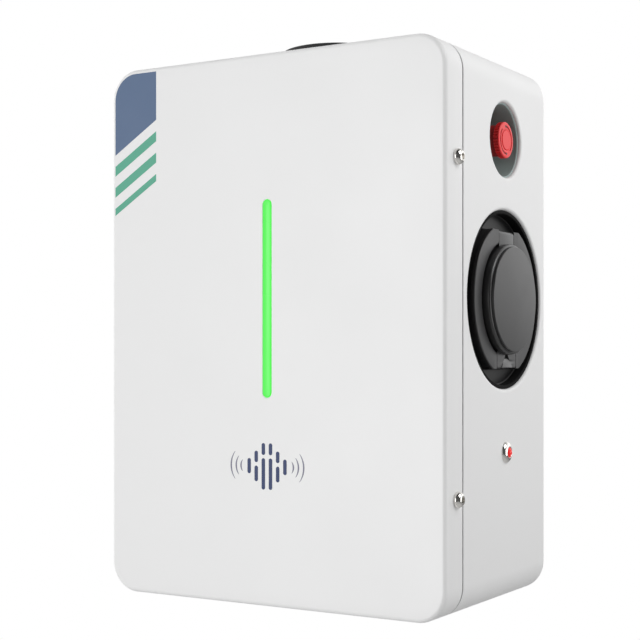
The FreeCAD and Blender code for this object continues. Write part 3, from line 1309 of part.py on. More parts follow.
def lamp():
    bezel = turned("lamp_bezel", [
        ("lampLens + seat", "-lampEnd"), ("lampBarrel", "-lampEnd"), ("lampBarrel", "0"), ("lampRadius", "0"),
        ("lampRadius", "lampBezelEdge", "lampBezelRound", 1),
        ("lampLens + lampFace", "lampProud"), ("lampLens + seat", "lampProud - lampBezelLip"),
    ])
    finished(onSide(bezel, "-lampCentre"), "lamp_bezel")
    lens = turned("lamp_lens", [
        ("0", "-lampLensFoot"), ("lampLens", "-lampLensFoot"),
        ("lampLens", "lampProud - lampLensBack", "(lampLens ^ 2 + lampLensRise ^ 2) / (2 * lampLensRise)", 1),
        ("0", "lampProud - lampLensBack + lampLensRise"),
    ])
    finished(onSide(lens, "-lampCentre"), "lamp_lens")
    nut = hexRing("lamp_nut", "lampNutRadius", "lampBarrel + runningPlay", "lampNutHeight")
    put(nut, "boxWidth / 2 - housingWall - lampNutHeight", lineY, "-lampCentre", facingSide)
    finished(nut, "lamp_nut")


def build():
    rearHousing()
    frontCover()
    coverSeal()
    coverScrews()
    lightBar()
    readerBoard()
    wallBracket()
    bracketScrews()
    mountingPlate()
    rail()
    railModules()
    controlBoard()
    antenna()
    supplyGland()
    emergencyStop()
    socketCup()
    socketTube()
    socketFlange()
    socketInsulator()
    socketLid()
    lockActuator()
    lamp()
    doc.recompute()


def check():
    """Stop before anything is written if any object failed or any piece isn't sound."""
    for thing in doc.Objects:
        if "Invalid" in thing.State or "Error" in thing.State:
            raise ValueError(f"{thing.Label} ({thing.Name}) failed: {thing.getStatusString()}")
    for piece in pieces:
        if piece.Shape.isNull() or not piece.Shape.isValid() or not piece.Shape.Solids:
            raise ValueError(f"{piece.Label} isn't a sound solid")


def write():
    os.makedirs("parts", exist_ok=True)
    for piece in pieces:
        piece.Shape.exportStep(f"parts/{piece.Label}.step")
        solids = len(piece.Shape.Solids)
        print(f"{piece.Label}: {solids} solid(s), {piece.Shape.Volume / 1000:.2f} cm3")


build()
check()
write()
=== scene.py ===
import math

import bmesh
import bpy
import numpy as np
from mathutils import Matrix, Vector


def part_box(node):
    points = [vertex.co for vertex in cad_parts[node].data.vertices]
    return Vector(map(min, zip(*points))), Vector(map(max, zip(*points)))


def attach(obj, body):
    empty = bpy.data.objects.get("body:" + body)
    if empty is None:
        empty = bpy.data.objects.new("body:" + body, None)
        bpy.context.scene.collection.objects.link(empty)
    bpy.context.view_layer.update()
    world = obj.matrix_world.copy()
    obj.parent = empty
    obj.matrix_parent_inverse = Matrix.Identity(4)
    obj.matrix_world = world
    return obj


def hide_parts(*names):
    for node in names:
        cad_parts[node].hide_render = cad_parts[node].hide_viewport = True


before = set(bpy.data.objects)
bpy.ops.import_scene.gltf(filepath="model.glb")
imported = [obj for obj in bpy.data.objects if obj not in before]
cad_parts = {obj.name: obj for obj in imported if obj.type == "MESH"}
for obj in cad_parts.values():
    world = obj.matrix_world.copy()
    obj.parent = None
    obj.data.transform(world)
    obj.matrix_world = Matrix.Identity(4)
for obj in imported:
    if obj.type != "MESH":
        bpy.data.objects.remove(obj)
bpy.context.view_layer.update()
print("frame: the charging unit's solids are loaded")

# Every size below is in millimetres. X is to the right, Y towards the wall, Z up. A side frame
# has back, up and out of the right-hand side face as its three directions.
mm = 0.001
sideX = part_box("rear_housing")[1][0] / mm
lineY = sum(corner[1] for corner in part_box("socket_lid")) / 2 / mm


def softened(corners, steps=6, closed=False):
    # a line through (a, b) or (a, b, radius) corners; a radius turns the corner into an arc that
    # touches both its sides, from the angle between them
    points = np.array([corner[:2] for corner in corners], float)
    line = []
    for index, corner in enumerate(corners):
        here = points[index]
        inside = closed or 0 < index < len(corners) - 1
        if len(corner) < 3 or not inside:
            line.append(here[None])
            continue
        before = points[index - 1] - here
        after = points[(index + 1) % len(points)] - here
        before /= np.linalg.norm(before)
        after /= np.linalg.norm(after)
        if np.linalg.norm(before + after) < 1e-6:
            line.append(here[None])
            continue
        half = math.acos(np.clip(before @ after, -1, 1)) / 2
        middle = here + (before + after) / np.linalg.norm(before + after) * corner[2] / math.sin(half)
        reach = corner[2] / math.tan(half)
        spokes = [here + way * reach - middle for way in (before, after)]
        start, end = (math.atan2(spoke[1], spoke[0]) for spoke in spokes)
        turn = (end - start + math.pi) % (2 * math.pi) - math.pi
        angle = start + turn * np.linspace(0, 1, steps + 1)
        line.append(middle + corner[2] * np.stack([np.cos(angle), np.sin(angle)], axis=-1))
    return np.concatenate(line)


def bowed(start, end, radius, side, steps=10):
    # an arc of a given radius between two points, its centre on the left (1) or right (-1)
    start, end = np.array(start, float), np.array(end, float)
    chord = end - start
    length = np.linalg.norm(chord)
    rise = math.sqrt(radius ** 2 - length ** 2 / 4)
    middle = (start + end) / 2 + np.array([-chord[1], chord[0]]) / length * side * rise
    first, last = (math.atan2(*(point - middle)[::-1]) for point in (start, end))
    turn = (last - first + math.pi) % (2 * math.pi) - math.pi
    angle = first + turn * np.linspace(0, 1, steps + 1)
    return middle + radius * np.stack([np.cos(angle), np.sin(angle)], axis=-1)


def joined(*lines):
    # lines put end to end, without the points that two of them share
    line = np.concatenate([np.reshape(np.asarray(part, float), (-1, 2)) for part in lines])
    keep = np.ones(len(line), bool)
    keep[1:] = np.linalg.norm(np.diff(line, axis=0), axis=1) > 1e-6
    return line[keep]


def skin(grid, closeRows=False, closeCols=True, without=None):
    # the points of a grid and its quads; the grid may close on itself either way
    rows, cols = grid.shape[:2]
    row = np.arange(rows if closeRows else rows - 1)[:, None]
    col = np.arange(cols if closeCols else cols - 1)[None]
    nextRow, nextCol = (row + 1) % rows, (col + 1) % cols
    quads = np.stack([
        row * cols + col, row * cols + nextCol, nextRow * cols + nextCol, nextRow * cols + col,
    ], axis=-1)
    if without is not None:
        quads = quads[~without]
    return grid.reshape(-1, 3), quads.reshape(-1, 4).tolist()


def spun(profile, turns=96, ripple=None):
    # a profile of (radius, height) turned about the third axis; ripple gives the radius's change
    # for each row and angle
    profile = np.asarray(profile, float)
    angle = np.linspace(0, 2 * np.pi, turns, endpoint=False)
    radius = np.repeat(profile[:, :1], turns, axis=1)
    if ripple is not None:
        radius = radius + ripple(profile, angle)
    height = np.repeat(profile[:, 1:], turns, axis=1)
    return np.stack([radius * np.cos(angle), radius * np.sin(angle), height], axis=-1)


def ringed(profile, turns=96, ripple=None):
    # the closed skin of a ring whose profile returns to its start
    return skin(spun(profile, turns, ripple), closeRows=True)


def outward(outline):
    # for each point of a closed anticlockwise outline, the way out, long enough that an offset
    # along it keeps the sides parallel
    ahead = np.roll(outline, -1, axis=0) - outline
    ahead = ahead / np.maximum(np.linalg.norm(ahead, axis=1, keepdims=True), 1e-9)
    normal = np.stack([ahead[:, 1], -ahead[:, 0]], axis=-1)
    both = normal + np.roll(normal, 1, axis=0)
    size = np.linalg.norm(both, axis=1, keepdims=True)
    return both / size * (2 / size)


def endCapped(grid):
    # a skin whose rows are closed loops, with a flat face on the first and the last
    points, faces = skin(grid)
    count = grid.shape[1]
    faces.append(list(range(count)))
    faces.append(list(range(len(points) - count, len(points))))
    return points, faces


def sideCapped(grid):
    # a skin whose columns are closed loops, with a flat face on the first and the last
    points, faces = skin(grid, closeRows=True, closeCols=False)
    rows, cols = grid.shape[:2]
    for col in (0, cols - 1):
        faces.append([row * cols + col for row in range(rows)])
    return points, faces


def stacked(outline, profile):
    # an outline repeated at each (inset, height) of a profile, with a flat face at both ends
    outline = np.asarray(outline, float)
    profile = np.asarray(profile, float)
    flat = outline[None] - profile[:, :1, None] * outward(outline)[None]
    height = np.broadcast_to(profile[:, 1:, None], flat.shape[:2] + (1,))
    return endCapped(np.concatenate([flat, height], axis=-1))


def onSide(surface, up):
    # from a side frame whose origin lies on the side face at this height
    points, faces = surface
    back, high, out = points.T
    return np.stack([sideX + out, lineY + back, up + high], axis=-1), faces


def newObject(name, data):
    thing = bpy.data.objects.new(name, data)
    bpy.context.scene.collection.objects.link(thing)
    return thing


def makePiece(name, surfaces, finish, body="housing", nodes=(), sharp=32):
    # one mesh from (points, faces) in millimetres: what meets is merged, every face is turned
    # outwards, and all but the sharp edges are smooth
    verts, faces, count = [], [], 0
    for points, corners in surfaces:
        verts.append(points)
        faces += [[corner + count for corner in face] for face in corners]
        count += len(points)
    mesh = bpy.data.meshes.new(name)
    mesh.from_pydata((np.concatenate(verts) * mm).tolist(), [], faces)
    shape = bmesh.new()
    shape.from_mesh(mesh)
    bmesh.ops.remove_doubles(shape, verts=shape.verts, dist=2e-6)
    bmesh.ops.dissolve_degenerate(shape, edges=shape.edges, dist=1e-6)
    bmesh.ops.recalc_face_normals(shape, faces=shape.faces)
    shape.to_mesh(mesh)
    shape.free()
    mesh.shade_smooth()
    mesh.set_sharp_from_angle(angle=math.radians(sharp))
    mesh.materials.append(made[finish])
    thing = newObject(name, mesh)
    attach(thing, body)
    if nodes:
        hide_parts(*nodes)


def linear(colour):
    # an sRGB hex colour as the linear values that the sockets take
    value = np.array([int(colour[place:place + 2], 16) for place in (1, 3, 5)]) / 255
    value = np.where(value <= 0.04045, value / 12.92, ((value + 0.055) / 1.055) ** 2.4)
    return (*value.tolist(), 1.0)


def addNode(tree, kind, settings=None, inputs=None):
    # one node; an input is a value, or the output of another node
    node = tree.nodes.new("ShaderNode" + kind)
    for name, value in (settings or {}).items():
        setattr(node, name, value)
    for name, value in (inputs or {}).items():
        if isinstance(value, bpy.types.NodeSocket):
            tree.links.new(value, node.inputs[name])
        else:
            node.inputs[name].default_value = value
    return node


def smoothRamp(tree, value, fromLow, fromHigh, toLow=0.0, toHigh=1.0):
    # a value carried from one range to another, smoothly at both ends
    return addNode(tree, "MapRange", {"interpolation_type": "SMOOTHSTEP"}, {
        "Value": value, "From Min": fromLow, "From Max": fromHigh, "To Min": toLow, "To Max": toHigh,
    }).outputs["Result"]


usual = {"patch": 30, "grain": 0.8, "metallic": 0.0, "ior": 1.5, "specular": 0.5}


def newFinish(name, look):
    # a principled surface: a mottle between two close shades in patches of "patch" mm, a grain of
    # "grain" mm whose height is "relief" mm, and a roughness that follows the patches
    look = {**usual, **look}
    material = bpy.data.materials.new(name)
    material.use_nodes = True
    tree = material.node_tree
    shader = tree.nodes["Principled BSDF"]
    shader.inputs["Metallic"].default_value = look["metallic"]
    shader.inputs["IOR"].default_value = look["ior"]
    shader.inputs["Specular IOR Level"].default_value = look["specular"]
    place = addNode(tree, "TexCoord").outputs["Object"]
    patches = addNode(tree, "TexNoise", {"noise_dimensions": "3D"}, {
        "Vector": place, "Scale": 1 / (look["patch"] * mm), "Detail": 3.0,
    })
    shades = addNode(tree, "Mix", {"data_type": "RGBA"}, {
        0: patches.outputs["Fac"], 6: linear(look["colour"]), 7: linear(look["second"]),
    })
    tree.links.new(shades.outputs[2], shader.inputs["Base Color"])
    low, high = look["roughness"]
    sheen = addNode(tree, "MapRange", None, {
        "Value": patches.outputs["Fac"], "From Min": 0.3, "From Max": 0.7,
        "To Min": low, "To Max": high,
    })
    tree.links.new(sheen.outputs["Result"], shader.inputs["Roughness"])
    grains = addNode(tree, "TexNoise", {"noise_dimensions": "3D"}, {
        "Vector": place, "Scale": 1 / (look["grain"] * mm), "Detail": 2.0, "Roughness": 0.6,
    })
    relief = addNode(tree, "Bump", None, {
        "Height": grains.outputs["Fac"], "Distance": look["relief"] * mm, "Strength": 1.0,
    })
    tree.links.new(relief.outputs["Normal"], shader.inputs["Normal"])
    if "glow" in look:
        shader.inputs["Emission Color"].default_value = linear(look["glow"])
        shader.inputs["Emission Strength"].default_value = look["strength"]
    return material


finishes = {
    # ABS and polycarbonate blend, injection moulded in a fine spark-eroded mould: an even satin white
    "mouldedWhiteAbs": {
        "colour": "#e9e9e9", "second": "#e7e7e7", "roughness": (0.34, 0.4), "patch": 60,
        "grain": 0.9, "relief": 0.004, "ior": 1.52,
    },
    # EPDM sealing cord: matt and mid grey
    "greyEpdmSeal": {
        "colour": "#8e8e8e", "second": "#858585", "roughness": (0.7, 0.8), "grain": 1.2,
        "relief": 0.02,
    },
    # chromed steel button heads: mirror bright, with faint polishing haze
    "chromedSteel": {
        "colour": "#e8e6e2", "second": "#dedcd8", "metallic": 1.0, "roughness": (0.08, 0.16),
        "patch": 4, "grain": 0.6, "relief": 0.001,
    },
    # glass-filled nylon from an eroded mould: black and matt
    "blackNylon": {
        "colour": "#101011", "second": "#151516", "roughness": (0.5, 0.62),
        "relief": 0.012, "ior": 1.53,
    },
    # the same nylon in the socket's well, matt and with little shine: its darker black is painted
    # shade for the deep well
    "paintedShadeWellNylon": {
        "colour": "#080808", "second": "#0b0b0b", "roughness": (0.75, 0.85),
        "relief": 0.02, "specular": 0.15,
    },
    # its shelves, polished in the mould: the same darker black, painted shade for the well, with a
    # soft shine
    "paintedShadeShelfNylon": {
        "colour": "#090909", "second": "#0b0b0c", "roughness": (0.34, 0.4),
        "relief": 0.006, "ior": 1.53, "specular": 0.22,
    },
    # ABS with a coarse eroded grain: a dull black, lighter than the socket's
    "antennaBlackAbs": {
        "colour": "#1a1a1b", "second": "#202021", "roughness": (0.55, 0.65), "grain": 1.1,
        "relief": 0.02, "ior": 1.52,
    },
    # the dark grey mouldings of the socket: satin, with a slight grain
    "flangeGreyNylon": {
        "colour": "#282829", "second": "#2b2b2c", "roughness": (0.36, 0.42), "grain": 0.9,
        "relief": 0.01, "ior": 1.6,
    },
    # the lid, from a finer face: darker than the flange, with more shine
    "lidGreyNylon": {
        "colour": "#19191a", "second": "#1c1c1d", "roughness": (0.3, 0.36), "grain": 0.9,
        "relief": 0.008, "ior": 1.66,
    },
    # the stop's recess: matt; its grey is painted shade, standing for the shade inside the white
    # housing's recess, and its green-blue cast is painted to offset the red light that the head throws
    # into it
    "paintedShadeRecessAbs": {
        "colour": "#98a9a7", "second": "#9cadab", "roughness": (0.5, 0.6), "grain": 1.0,
        "relief": 0.01, "ior": 1.52,
    },
    # the stop's head: a bright, satin red
    "stopRedAbs": {
        "colour": "#ee3436", "second": "#f03a3c", "roughness": (0.34, 0.42),
        "relief": 0.006, "specular": 0.3,
    },
    # the head's skirt, of the same plastic and matt: its deeper red is painted shade, for the shade
    # that falls on it down in the recess
    "paintedShadeSkirtRedAbs": {
        "colour": "#a01c1e", "second": "#a82022", "roughness": (0.6, 0.7), "relief": 0.01,
        "ior": 1.45,
    },
    # paint that fills the head's groove arcs: nearly black, with a red cast
    "stopDarkInk": {
        "colour": "#2c0a0c", "second": "#300e10", "roughness": (0.5, 0.6), "relief": 0.004,
    },
    # dyed acrylic with a weak light behind it: an even red that glows a little
    "lampRedAcrylic": {
        "colour": "#d02020", "second": "#c81c1c", "roughness": (0.2, 0.28),
        "relief": 0.002, "ior": 1.49, "specular": 0.3, "glow": "#e02018", "strength": 0.45,
    },
    # pad-printed inks: a little duller than the moulding under them
    "navyInk": {"colour": "#122a58", "second": "#1a2f63", "roughness": (0.42, 0.5), "relief": 0.003},
    "greyInk": {"colour": "#6d6c80", "second": "#757488", "roughness": (0.42, 0.5), "relief": 0.003},
    "blueInk": {"colour": "#4e6688", "second": "#4b6385", "roughness": (0.4, 0.48), "relief": 0.003},
    "greenInk": {"colour": "#4ea68a", "second": "#4ba387", "roughness": (0.4, 0.48), "relief": 0.003},
    # zinc-plated sheet, screws and springs: a cool grey whose sheen varies in patches
    "zincPlatedSteel": {
        "colour": "#b9bcc0", "second": "#a9adb2", "metallic": 1.0, "roughness": (0.3, 0.45),
        "patch": 9, "grain": 1.5, "relief": 0.01,
    },
    # the socket's contacts: bright and slightly warm
    "silverPlatedBrass": {
        "colour": "#cfc8b8", "second": "#c0b8a6", "metallic": 1.0, "roughness": (0.2, 0.32),
        "patch": 5, "relief": 0.004,
    },
    # lacquered circuit boards: dark green, glossier in patches
    "solderMaskGreen": {
        "colour": "#12452a", "second": "#0f3c24", "roughness": (0.25, 0.4), "patch": 12, "grain": 1.5,
        "relief": 0.02,
    },
    # the modules on the rail: plain light grey, a little dull
    "moduleGreyNylon": {
        "colour": "#b8babc", "second": "#b2b4b6", "roughness": (0.45, 0.55), "grain": 1.0,
        "relief": 0.01,
    },
    # rubber seals: black and matt
    "blackEpdm": {
        "colour": "#141414", "second": "#1a1a1a", "roughness": (0.7, 0.82), "grain": 1.2,
        "relief": 0.02,
    },
}
made = {name: newFinish(name, look) for name, look in finishes.items()}
print(f"finishes: {len(made)} surfaces")


view = {
    "place": (0.5147, -0.9437, -0.0144),  # metres
    "turn": 31.13,                        # degrees to the left of straight ahead
    "lens": 78.98, "sensor": 36,
    "shift": 0.0487,                      # the photograph's horizon lies below its middle
}
camera = newObject("camera", bpy.data.cameras.new("camera"))
camera.location = view["place"]
camera.rotation_euler = (math.pi / 2, 0, math.radians(view["turn"]))
camera.data.lens = view["lens"]
camera.data.sensor_width = view["sensor"]
camera.data.shift_y = view["shift"]
bpy.context.scene.camera = camera
bpy.context.scene.view_settings.view_transform = "Standard"

studio = {
    # the walls are white to the left; to the right only the upper part behind the unit is bright,
    # and the rest is dark, which shapes the side face and its recesses
    "white": 1.0, "rightFrom": -0.2, "rightTo": 0.15,
    "high": 1.5, "low": 0.1, "blend": 0.25, "backFrom": 0.0, "backTo": 0.75,
    "zenithFrom": 0.3, "zenithTo": 0.9, "zenith": 0.35,    # the ceiling is dimmer than the walls
    "floor": -1.2,         # metres; the unit hangs on a wall, well above the floor
    "floorHalf": 3.0,
}
lights = {
    # name: (place, point aimed at, width, height, watts)
    "above": ((1.3, 0.0, 1.2), (0.13, -0.07, 0.0), 1.0, 1.0, 12.5),
    "right": ((1.6, 0.5, -0.1), (0.13, -0.07, 0.0), 0.8, 0.8, 7.3),
    "front": ((-0.6, -2.4, 0.05), (0, -0.16, 0.0), 1.6, 1.6, 28),
}


def buildStudio():
    # white to the left; to the right the strength falls from the upper half behind the unit to the
    # rest; everywhere it falls towards the zenith
    world = bpy.data.worlds.new("studio")
    bpy.context.scene.world = world
    world.use_nodes = True
    tree = world.node_tree
    way = addNode(tree, "TexCoord").outputs["Generated"]
    parts = addNode(tree, "SeparateXYZ", None, {0: way}).outputs
    low, high, blend = studio["low"], studio["high"], studio["blend"]
    toRight = smoothRamp(tree, parts["X"], studio["rightFrom"], studio["rightTo"])
    level = smoothRamp(tree, parts["Z"], -blend, blend, low, high)
    toBack = smoothRamp(tree, parts["Y"], studio["backFrom"], studio["backTo"])
    right = addNode(tree, "Mix", {"data_type": "FLOAT"}, {0: toBack, 2: low, 3: level})
    strength = addNode(tree, "Mix", {"data_type": "FLOAT"}, {
        0: toRight, 2: studio["white"], 3: right.outputs[0],
    })
    ceiling = smoothRamp(tree, parts["Z"], studio["zenithFrom"], studio["zenithTo"], 1.0,
                         studio["zenith"])
    dimmed = addNode(tree, "Math", {"operation": "MULTIPLY"}, {0: strength.outputs[0], 1: ceiling})
    back = tree.nodes["Background"]
    back.inputs["Color"].default_value = (1, 1, 1, 1)
    tree.links.new(dimmed.outputs[0], back.inputs["Strength"])

    for name, (place, aim, wide, high, watts) in lights.items():
        lamp = bpy.data.lights.new(name, "AREA")
        lamp.shape = "RECTANGLE"
        lamp.size, lamp.size_y, lamp.energy = wide, high, watts
        thing = newObject(name, lamp)
        thing.location = place
        way = np.array(place) - np.array(aim)
        tilt = math.atan2(math.hypot(way[0], way[1]), way[2])
        thing.rotation_euler = (tilt, 0, math.atan2(way[0], -way[1]))

    half, foot = studio["floorHalf"], studio["floor"]
    mesh = bpy.data.meshes.new("floor")
    mesh.from_pydata([
        (-half, -half, foot), (half, -half, foot), (half, half, foot), (-half, half, foot),
    ], [], [(0, 1, 2, 3)])
    mesh.materials.append(newFinish("studioPaper", {
        "colour": "#cfcfcf", "second": "#cccccc", "roughness": (0.9, 0.95), "patch": 400, "grain": 5,
        "relief": 0.01,
    }))
    floor = newObject("floor", mesh)


buildStudio()
print("stage: camera, lights and floor")


shell = {
    "halfWide": 132.5, "halfHigh": 185, "corner": 21, "cornerSteps": 14,
    "front": -160, "coverRim": -136.6, "housingRim": -135, "back": -1,
    "frontRound": 3, "backRound": 0.8, "rimRound": 0.35, "coverInside": 1.5, "recessRounds": (0.6, 1),
    "wall": 3.2, "coverWall": 3,
    "step": 9,                         # from an edge to the next loop on a flat face
    "collar": (3.4, 5.8, 16.5),        # outer inset, inner inset and reach
    "recess": (76, 103, 5, 12),        # half width, half height, corner and depth of the back's recess
    "flat": 64.5,                      # half of the side face's flat part, across
    "across": 48,                      # cells across the side face
}
holes = {
    # name: (middle height, half height of the block around the hole, cells up)
    "lamp": (-82.6, 16, 12),
    "socket": (20.3, 64.5, 48),
    "stop": (128, 32, 28),
}
stations = np.concatenate([
    np.linspace(middle - half, middle + half, cells + 1) for middle, half, cells in holes.values()
])
stations = np.unique(np.concatenate([
    stations, [-(shell["halfHigh"] - shell["corner"]), shell["halfHigh"] - shell["corner"]],
]).round(4))


def boxLoop(halfWide, halfHigh, radius, middle=0.0):
    # the box's outline: up the right-hand side at the stations, then round the other three
    # sides; a smaller loop keeps the same columns, with its straight part scaled
    straight = stations / stations[-1] * (halfHigh - radius)
    parts = [np.stack([np.full_like(straight, halfWide), straight], axis=-1)]
    for quarter, (across, up) in enumerate(((1, 1), (-1, 1), (-1, -1), (1, -1))):
        turn = np.radians(90 * quarter + np.linspace(0, 90, shell["cornerSteps"] + 1))
        arc = np.stack([
            across * (halfWide - radius) + radius * np.cos(turn),
            up * (halfHigh - radius) + radius * np.sin(turn),
        ], axis=-1)
        parts.append(arc[1 if quarter == 0 else 0:-1 if quarter == 3 else None])
    loop = np.concatenate(parts)
    loop[:, 1] += middle
    return loop


def insetLoop(inset):
    return boxLoop(shell["halfWide"] - inset, shell["halfHigh"] - inset, shell["corner"] - inset)


def layer(loop, depth):
    return np.stack([loop[:, 0], np.full(len(loop), depth), loop[:, 1]], axis=-1)


def border(grid, rows, cols):
    # the edge of a block of a grid, once round
    return np.concatenate([
        grid[rows[0], cols[:-1]], grid[rows[:-1], cols[-1]],
        grid[rows[-1], cols[:0:-1]], grid[rows[:0:-1], cols[0]],
    ])


holeProfiles = {
    # (radius, depth) from the side face to the inside of the wall
    "lamp": [(6.4, 0), (6.1, 0.3), (6.1, 3.2)],
    "socket": joined([(63.2, 0)], softened([(64, 0), (60.3, 0, 2.2), (60.3, 3.2)], 8)[1:]),
    "stop": joined(softened([(27.7, 0), (25.2, 0, 2.1), (25.2, 3.2)], 12),
                   [(26.25, 3.2), (26.25, 9), (30, 9), (30, 3.2)]),
}


def makeHousing():
    # loops of the box outline from the middle of the inside to the middle of the recess in the
    # back; round each hole of the right-hand side the grid gives way to rings that start as the
    # edge of a block of cells and end as circles
    back, rim, wall = shell["back"], shell["housingRim"], shell["wall"]
    wide, high, corner, deep = shell["recess"]
    outer, inner, reach = shell["collar"]
    step, (lip, foot) = shell["step"], shell["recessRounds"]
    flatRows = np.linspace(lineY - shell["flat"], lineY + shell["flat"], shell["across"] + 1)
    insideRows = np.linspace(back - wall, flatRows[0], shell["across"] + 1)
    rows = [
        layer(boxLoop(0, 0, 0), back - deep - wall),
        layer(boxLoop(wide + wall, high + wall, corner + wall), back - deep - wall),
        layer(boxLoop(wide + wall, high + wall, corner + wall), back - wall),
    ]
    insideStart = len(rows)
    rows += [layer(insetLoop(wall), depth) for depth in insideRows]
    rows += [layer(insetLoop(inset), depth) for inset, depth in (
        (inner, flatRows[0]), (inner, rim - reach), (outer, rim - reach), (outer, rim),
    )]
    edge = softened([(outer, rim), (0, rim, shell["rimRound"]), (0, flatRows[0])], 4)[1:-1]
    rows += [layer(insetLoop(inset), depth) for inset, depth in edge]
    outsideStart = len(rows)
    rows += [layer(insetLoop(0), depth) for depth in flatRows]
    edge = softened([(0, flatRows[0]), (0, back, shell["backRound"]), (step, back)], 8)[2:]
    rows += [layer(insetLoop(inset), depth) for inset, depth in edge]
    edge = softened([(step, back), (0, back, lip), (0, back - deep, foot), (-step, back - deep)], 4)
    rows += [layer(boxLoop(wide + grow, high + grow, corner + max(grow, -4)), depth)
             for grow, depth in edge]
    rows.append(layer(boxLoop(0, 0, 0), back - deep))
    grid = np.stack(rows)

    without = np.zeros((len(rows) - 1, grid.shape[1]), bool)
    surfaces = []
    for name, (middle, half, cells) in holes.items():
        first = np.searchsorted(stations, round(middle - half, 4))
        cols = np.arange(first, first + cells + 1)
        outside = np.arange(outsideStart, outsideStart + shell["across"] + 1)
        inside = np.arange(insideStart, insideStart + shell["across"] + 1)[::-1]
        for block in (outside, inside):
            without[min(block):max(block), cols[0]:cols[-1]] = True
        start, end = border(grid, outside, cols), border(grid, inside, cols)
        angle = np.arctan2(start[:, 2] - middle, start[:, 1] - lineY)
        rings = [np.stack([
            np.full_like(angle, sideX - depth), lineY + radius * np.cos(angle),
            middle + radius * np.sin(angle),
        ], axis=-1) for radius, depth in holeProfiles[name]]
        surfaces.append(skin(np.stack([start, *rings, end])))
    surfaces.insert(0, skin(grid, without=without))
    makePiece("housing_shell", surfaces, "mouldedWhiteAbs", nodes=["rear_housing"])


lightBar = {
    "half": 3.5, "halfLong": 66.25, "middle": 20.75, "edge": 0.3, "play": 0.1,
    "deep": 3, "rim": 0.15, "proud": 0.4, "round": 0.5,
    "glow": ("#4df04d", "#2cee2c"), "strength": 0.96,    # to the left and at the right-hand edge
    "edgeFrom": 1.2, "edgeTo": 2.6,                      # to the right of the lens's middle
}


def barLoop(inset):
    return boxLoop(lightBar["half"] - inset, lightBar["halfLong"] - inset,
                   lightBar["half"] - inset, lightBar["middle"])


def makeCover():
    # one closed strip of loops: the slot of the light bar, the inside, the rim, the side, the
    # rounded front edge and the front face
    front, rim, wall, step = shell["front"], shell["coverRim"], shell["coverWall"], shell["step"]
    inside = softened([
        (step, front + wall), (wall, front + wall, shell["coverInside"]), (wall, rim),
        (0, rim, shell["rimRound"]), (0, front, shell["frontRound"]), (step, front),
    ], 10)
    rows = [layer(barLoop(0), front + lightBar["edge"]), layer(barLoop(0), front + wall)]
    rows += [layer(insetLoop(inset), depth) for inset, depth in inside]
    rows.append(layer(barLoop(-lightBar["edge"]), front))
    makePiece("cover_shell", [skin(np.stack(rows), closeRows=True)], "mouldedWhiteAbs",
              nodes=["front_cover"])


sealBead = {"inner": 3.3, "outer": 0.9, "round": 0.7}    # two insets, and a radius


def makeSeal():
    # a flattened bead between the two rims
    front, back = shell["coverRim"], shell["housingRim"]
    inner, outer, turn = sealBead["inner"], sealBead["outer"], sealBead["round"]
    bead = softened([
        (inner, front), (outer, front, turn), (outer, back, turn), (inner, back),
    ], 5, closed=True)
    rows = [layer(insetLoop(inset), depth) for inset, depth in bead]
    makePiece("cover_gasket", [skin(np.stack(rows), closeRows=True)], "greyEpdmSeal",
              nodes=["cover_seal"])


def makeLightBar():
    front, half, play = shell["front"], lightBar["half"], lightBar["play"]
    rise = softened([
        (half, front + lightBar["deep"]), (play, front + lightBar["deep"]),
        (play, front - lightBar["rim"], lightBar["round"]), (half, front - lightBar["proud"]),
    ], 5)
    rows = [layer(barLoop(inset), depth) for inset, depth in rise]
    made["litGreenAcrylic"] = litGreen()
    makePiece("light_bar", [skin(np.stack(rows))], "litGreenAcrylic",
              nodes=["light_bar_lens"])


def litGreen():
    # acrylic lens lit from behind: the lamps' light is even along it and stronger at its
    # right-hand edge, where the lens is thinnest
    material = newFinish("litGreenAcrylic", {
        "colour": "#0a3a0a", "second": "#0a3a0a", "roughness": (0.25, 0.35), "grain": 1,
        "relief": 0.004, "ior": 1.49,
    })
    tree = material.node_tree
    shader = tree.nodes["Principled BSDF"]
    place = addNode(tree, "TexCoord").outputs["Object"]
    parts = addNode(tree, "SeparateXYZ", None, {0: place})
    across = smoothRamp(tree, parts.outputs["X"], lightBar["edgeFrom"] * mm, lightBar["edgeTo"] * mm)
    left, right = lightBar["glow"]
    shade = addNode(tree, "Mix", {"data_type": "RGBA"}, {0: across, 6: linear(left), 7: linear(right)})
    tree.links.new(shade.outputs[2], shader.inputs["Emission Color"])
    shader.inputs["Emission Strength"].default_value = lightBar["strength"]
    return material


makeHousing()
makeCover()
makeSeal()
makeLightBar()
print("shell: housing, cover, seal and light bar")


printed = {"sunk": 0.1, "rise": 0.05}    # below and above the front face


def onFront(outlines):
    # thin prints: anticlockwise outlines in x and z, raised off the front face
    surfaces = []
    for outline in outlines:
        points, faces = stacked(outline, [(0, -printed["sunk"]), (0, printed["rise"])])
        across, up, out = points.T
        surfaces.append((np.stack([across, shell["front"] - out, up], axis=-1), faces))
    return surfaces


signMark = {
    "middle": -91.3, "width": 2.8, "pitch": 5.7,
    # place in pitches from the middle, and the foot and top of each bar there
    "bars": (
        (0.5, -15.6, 5.4), (0.5, 7.5, 15.5), (1.5, -10.3, 0.2), (1.5, 2.5, 10.2), (2.5, -5.2, 5.1),
    ),
    "arcs": ((20.9, 7.6), (24.8, 12.7), (28.9, 18.6)),    # distance from the middle, and height
    "arcWidth": 1.1, "arcHalf": 38.75,                    # half of each arc's angle, in degrees
    "taper": 1.35,                                        # radians of a cosine that thins the ends
}


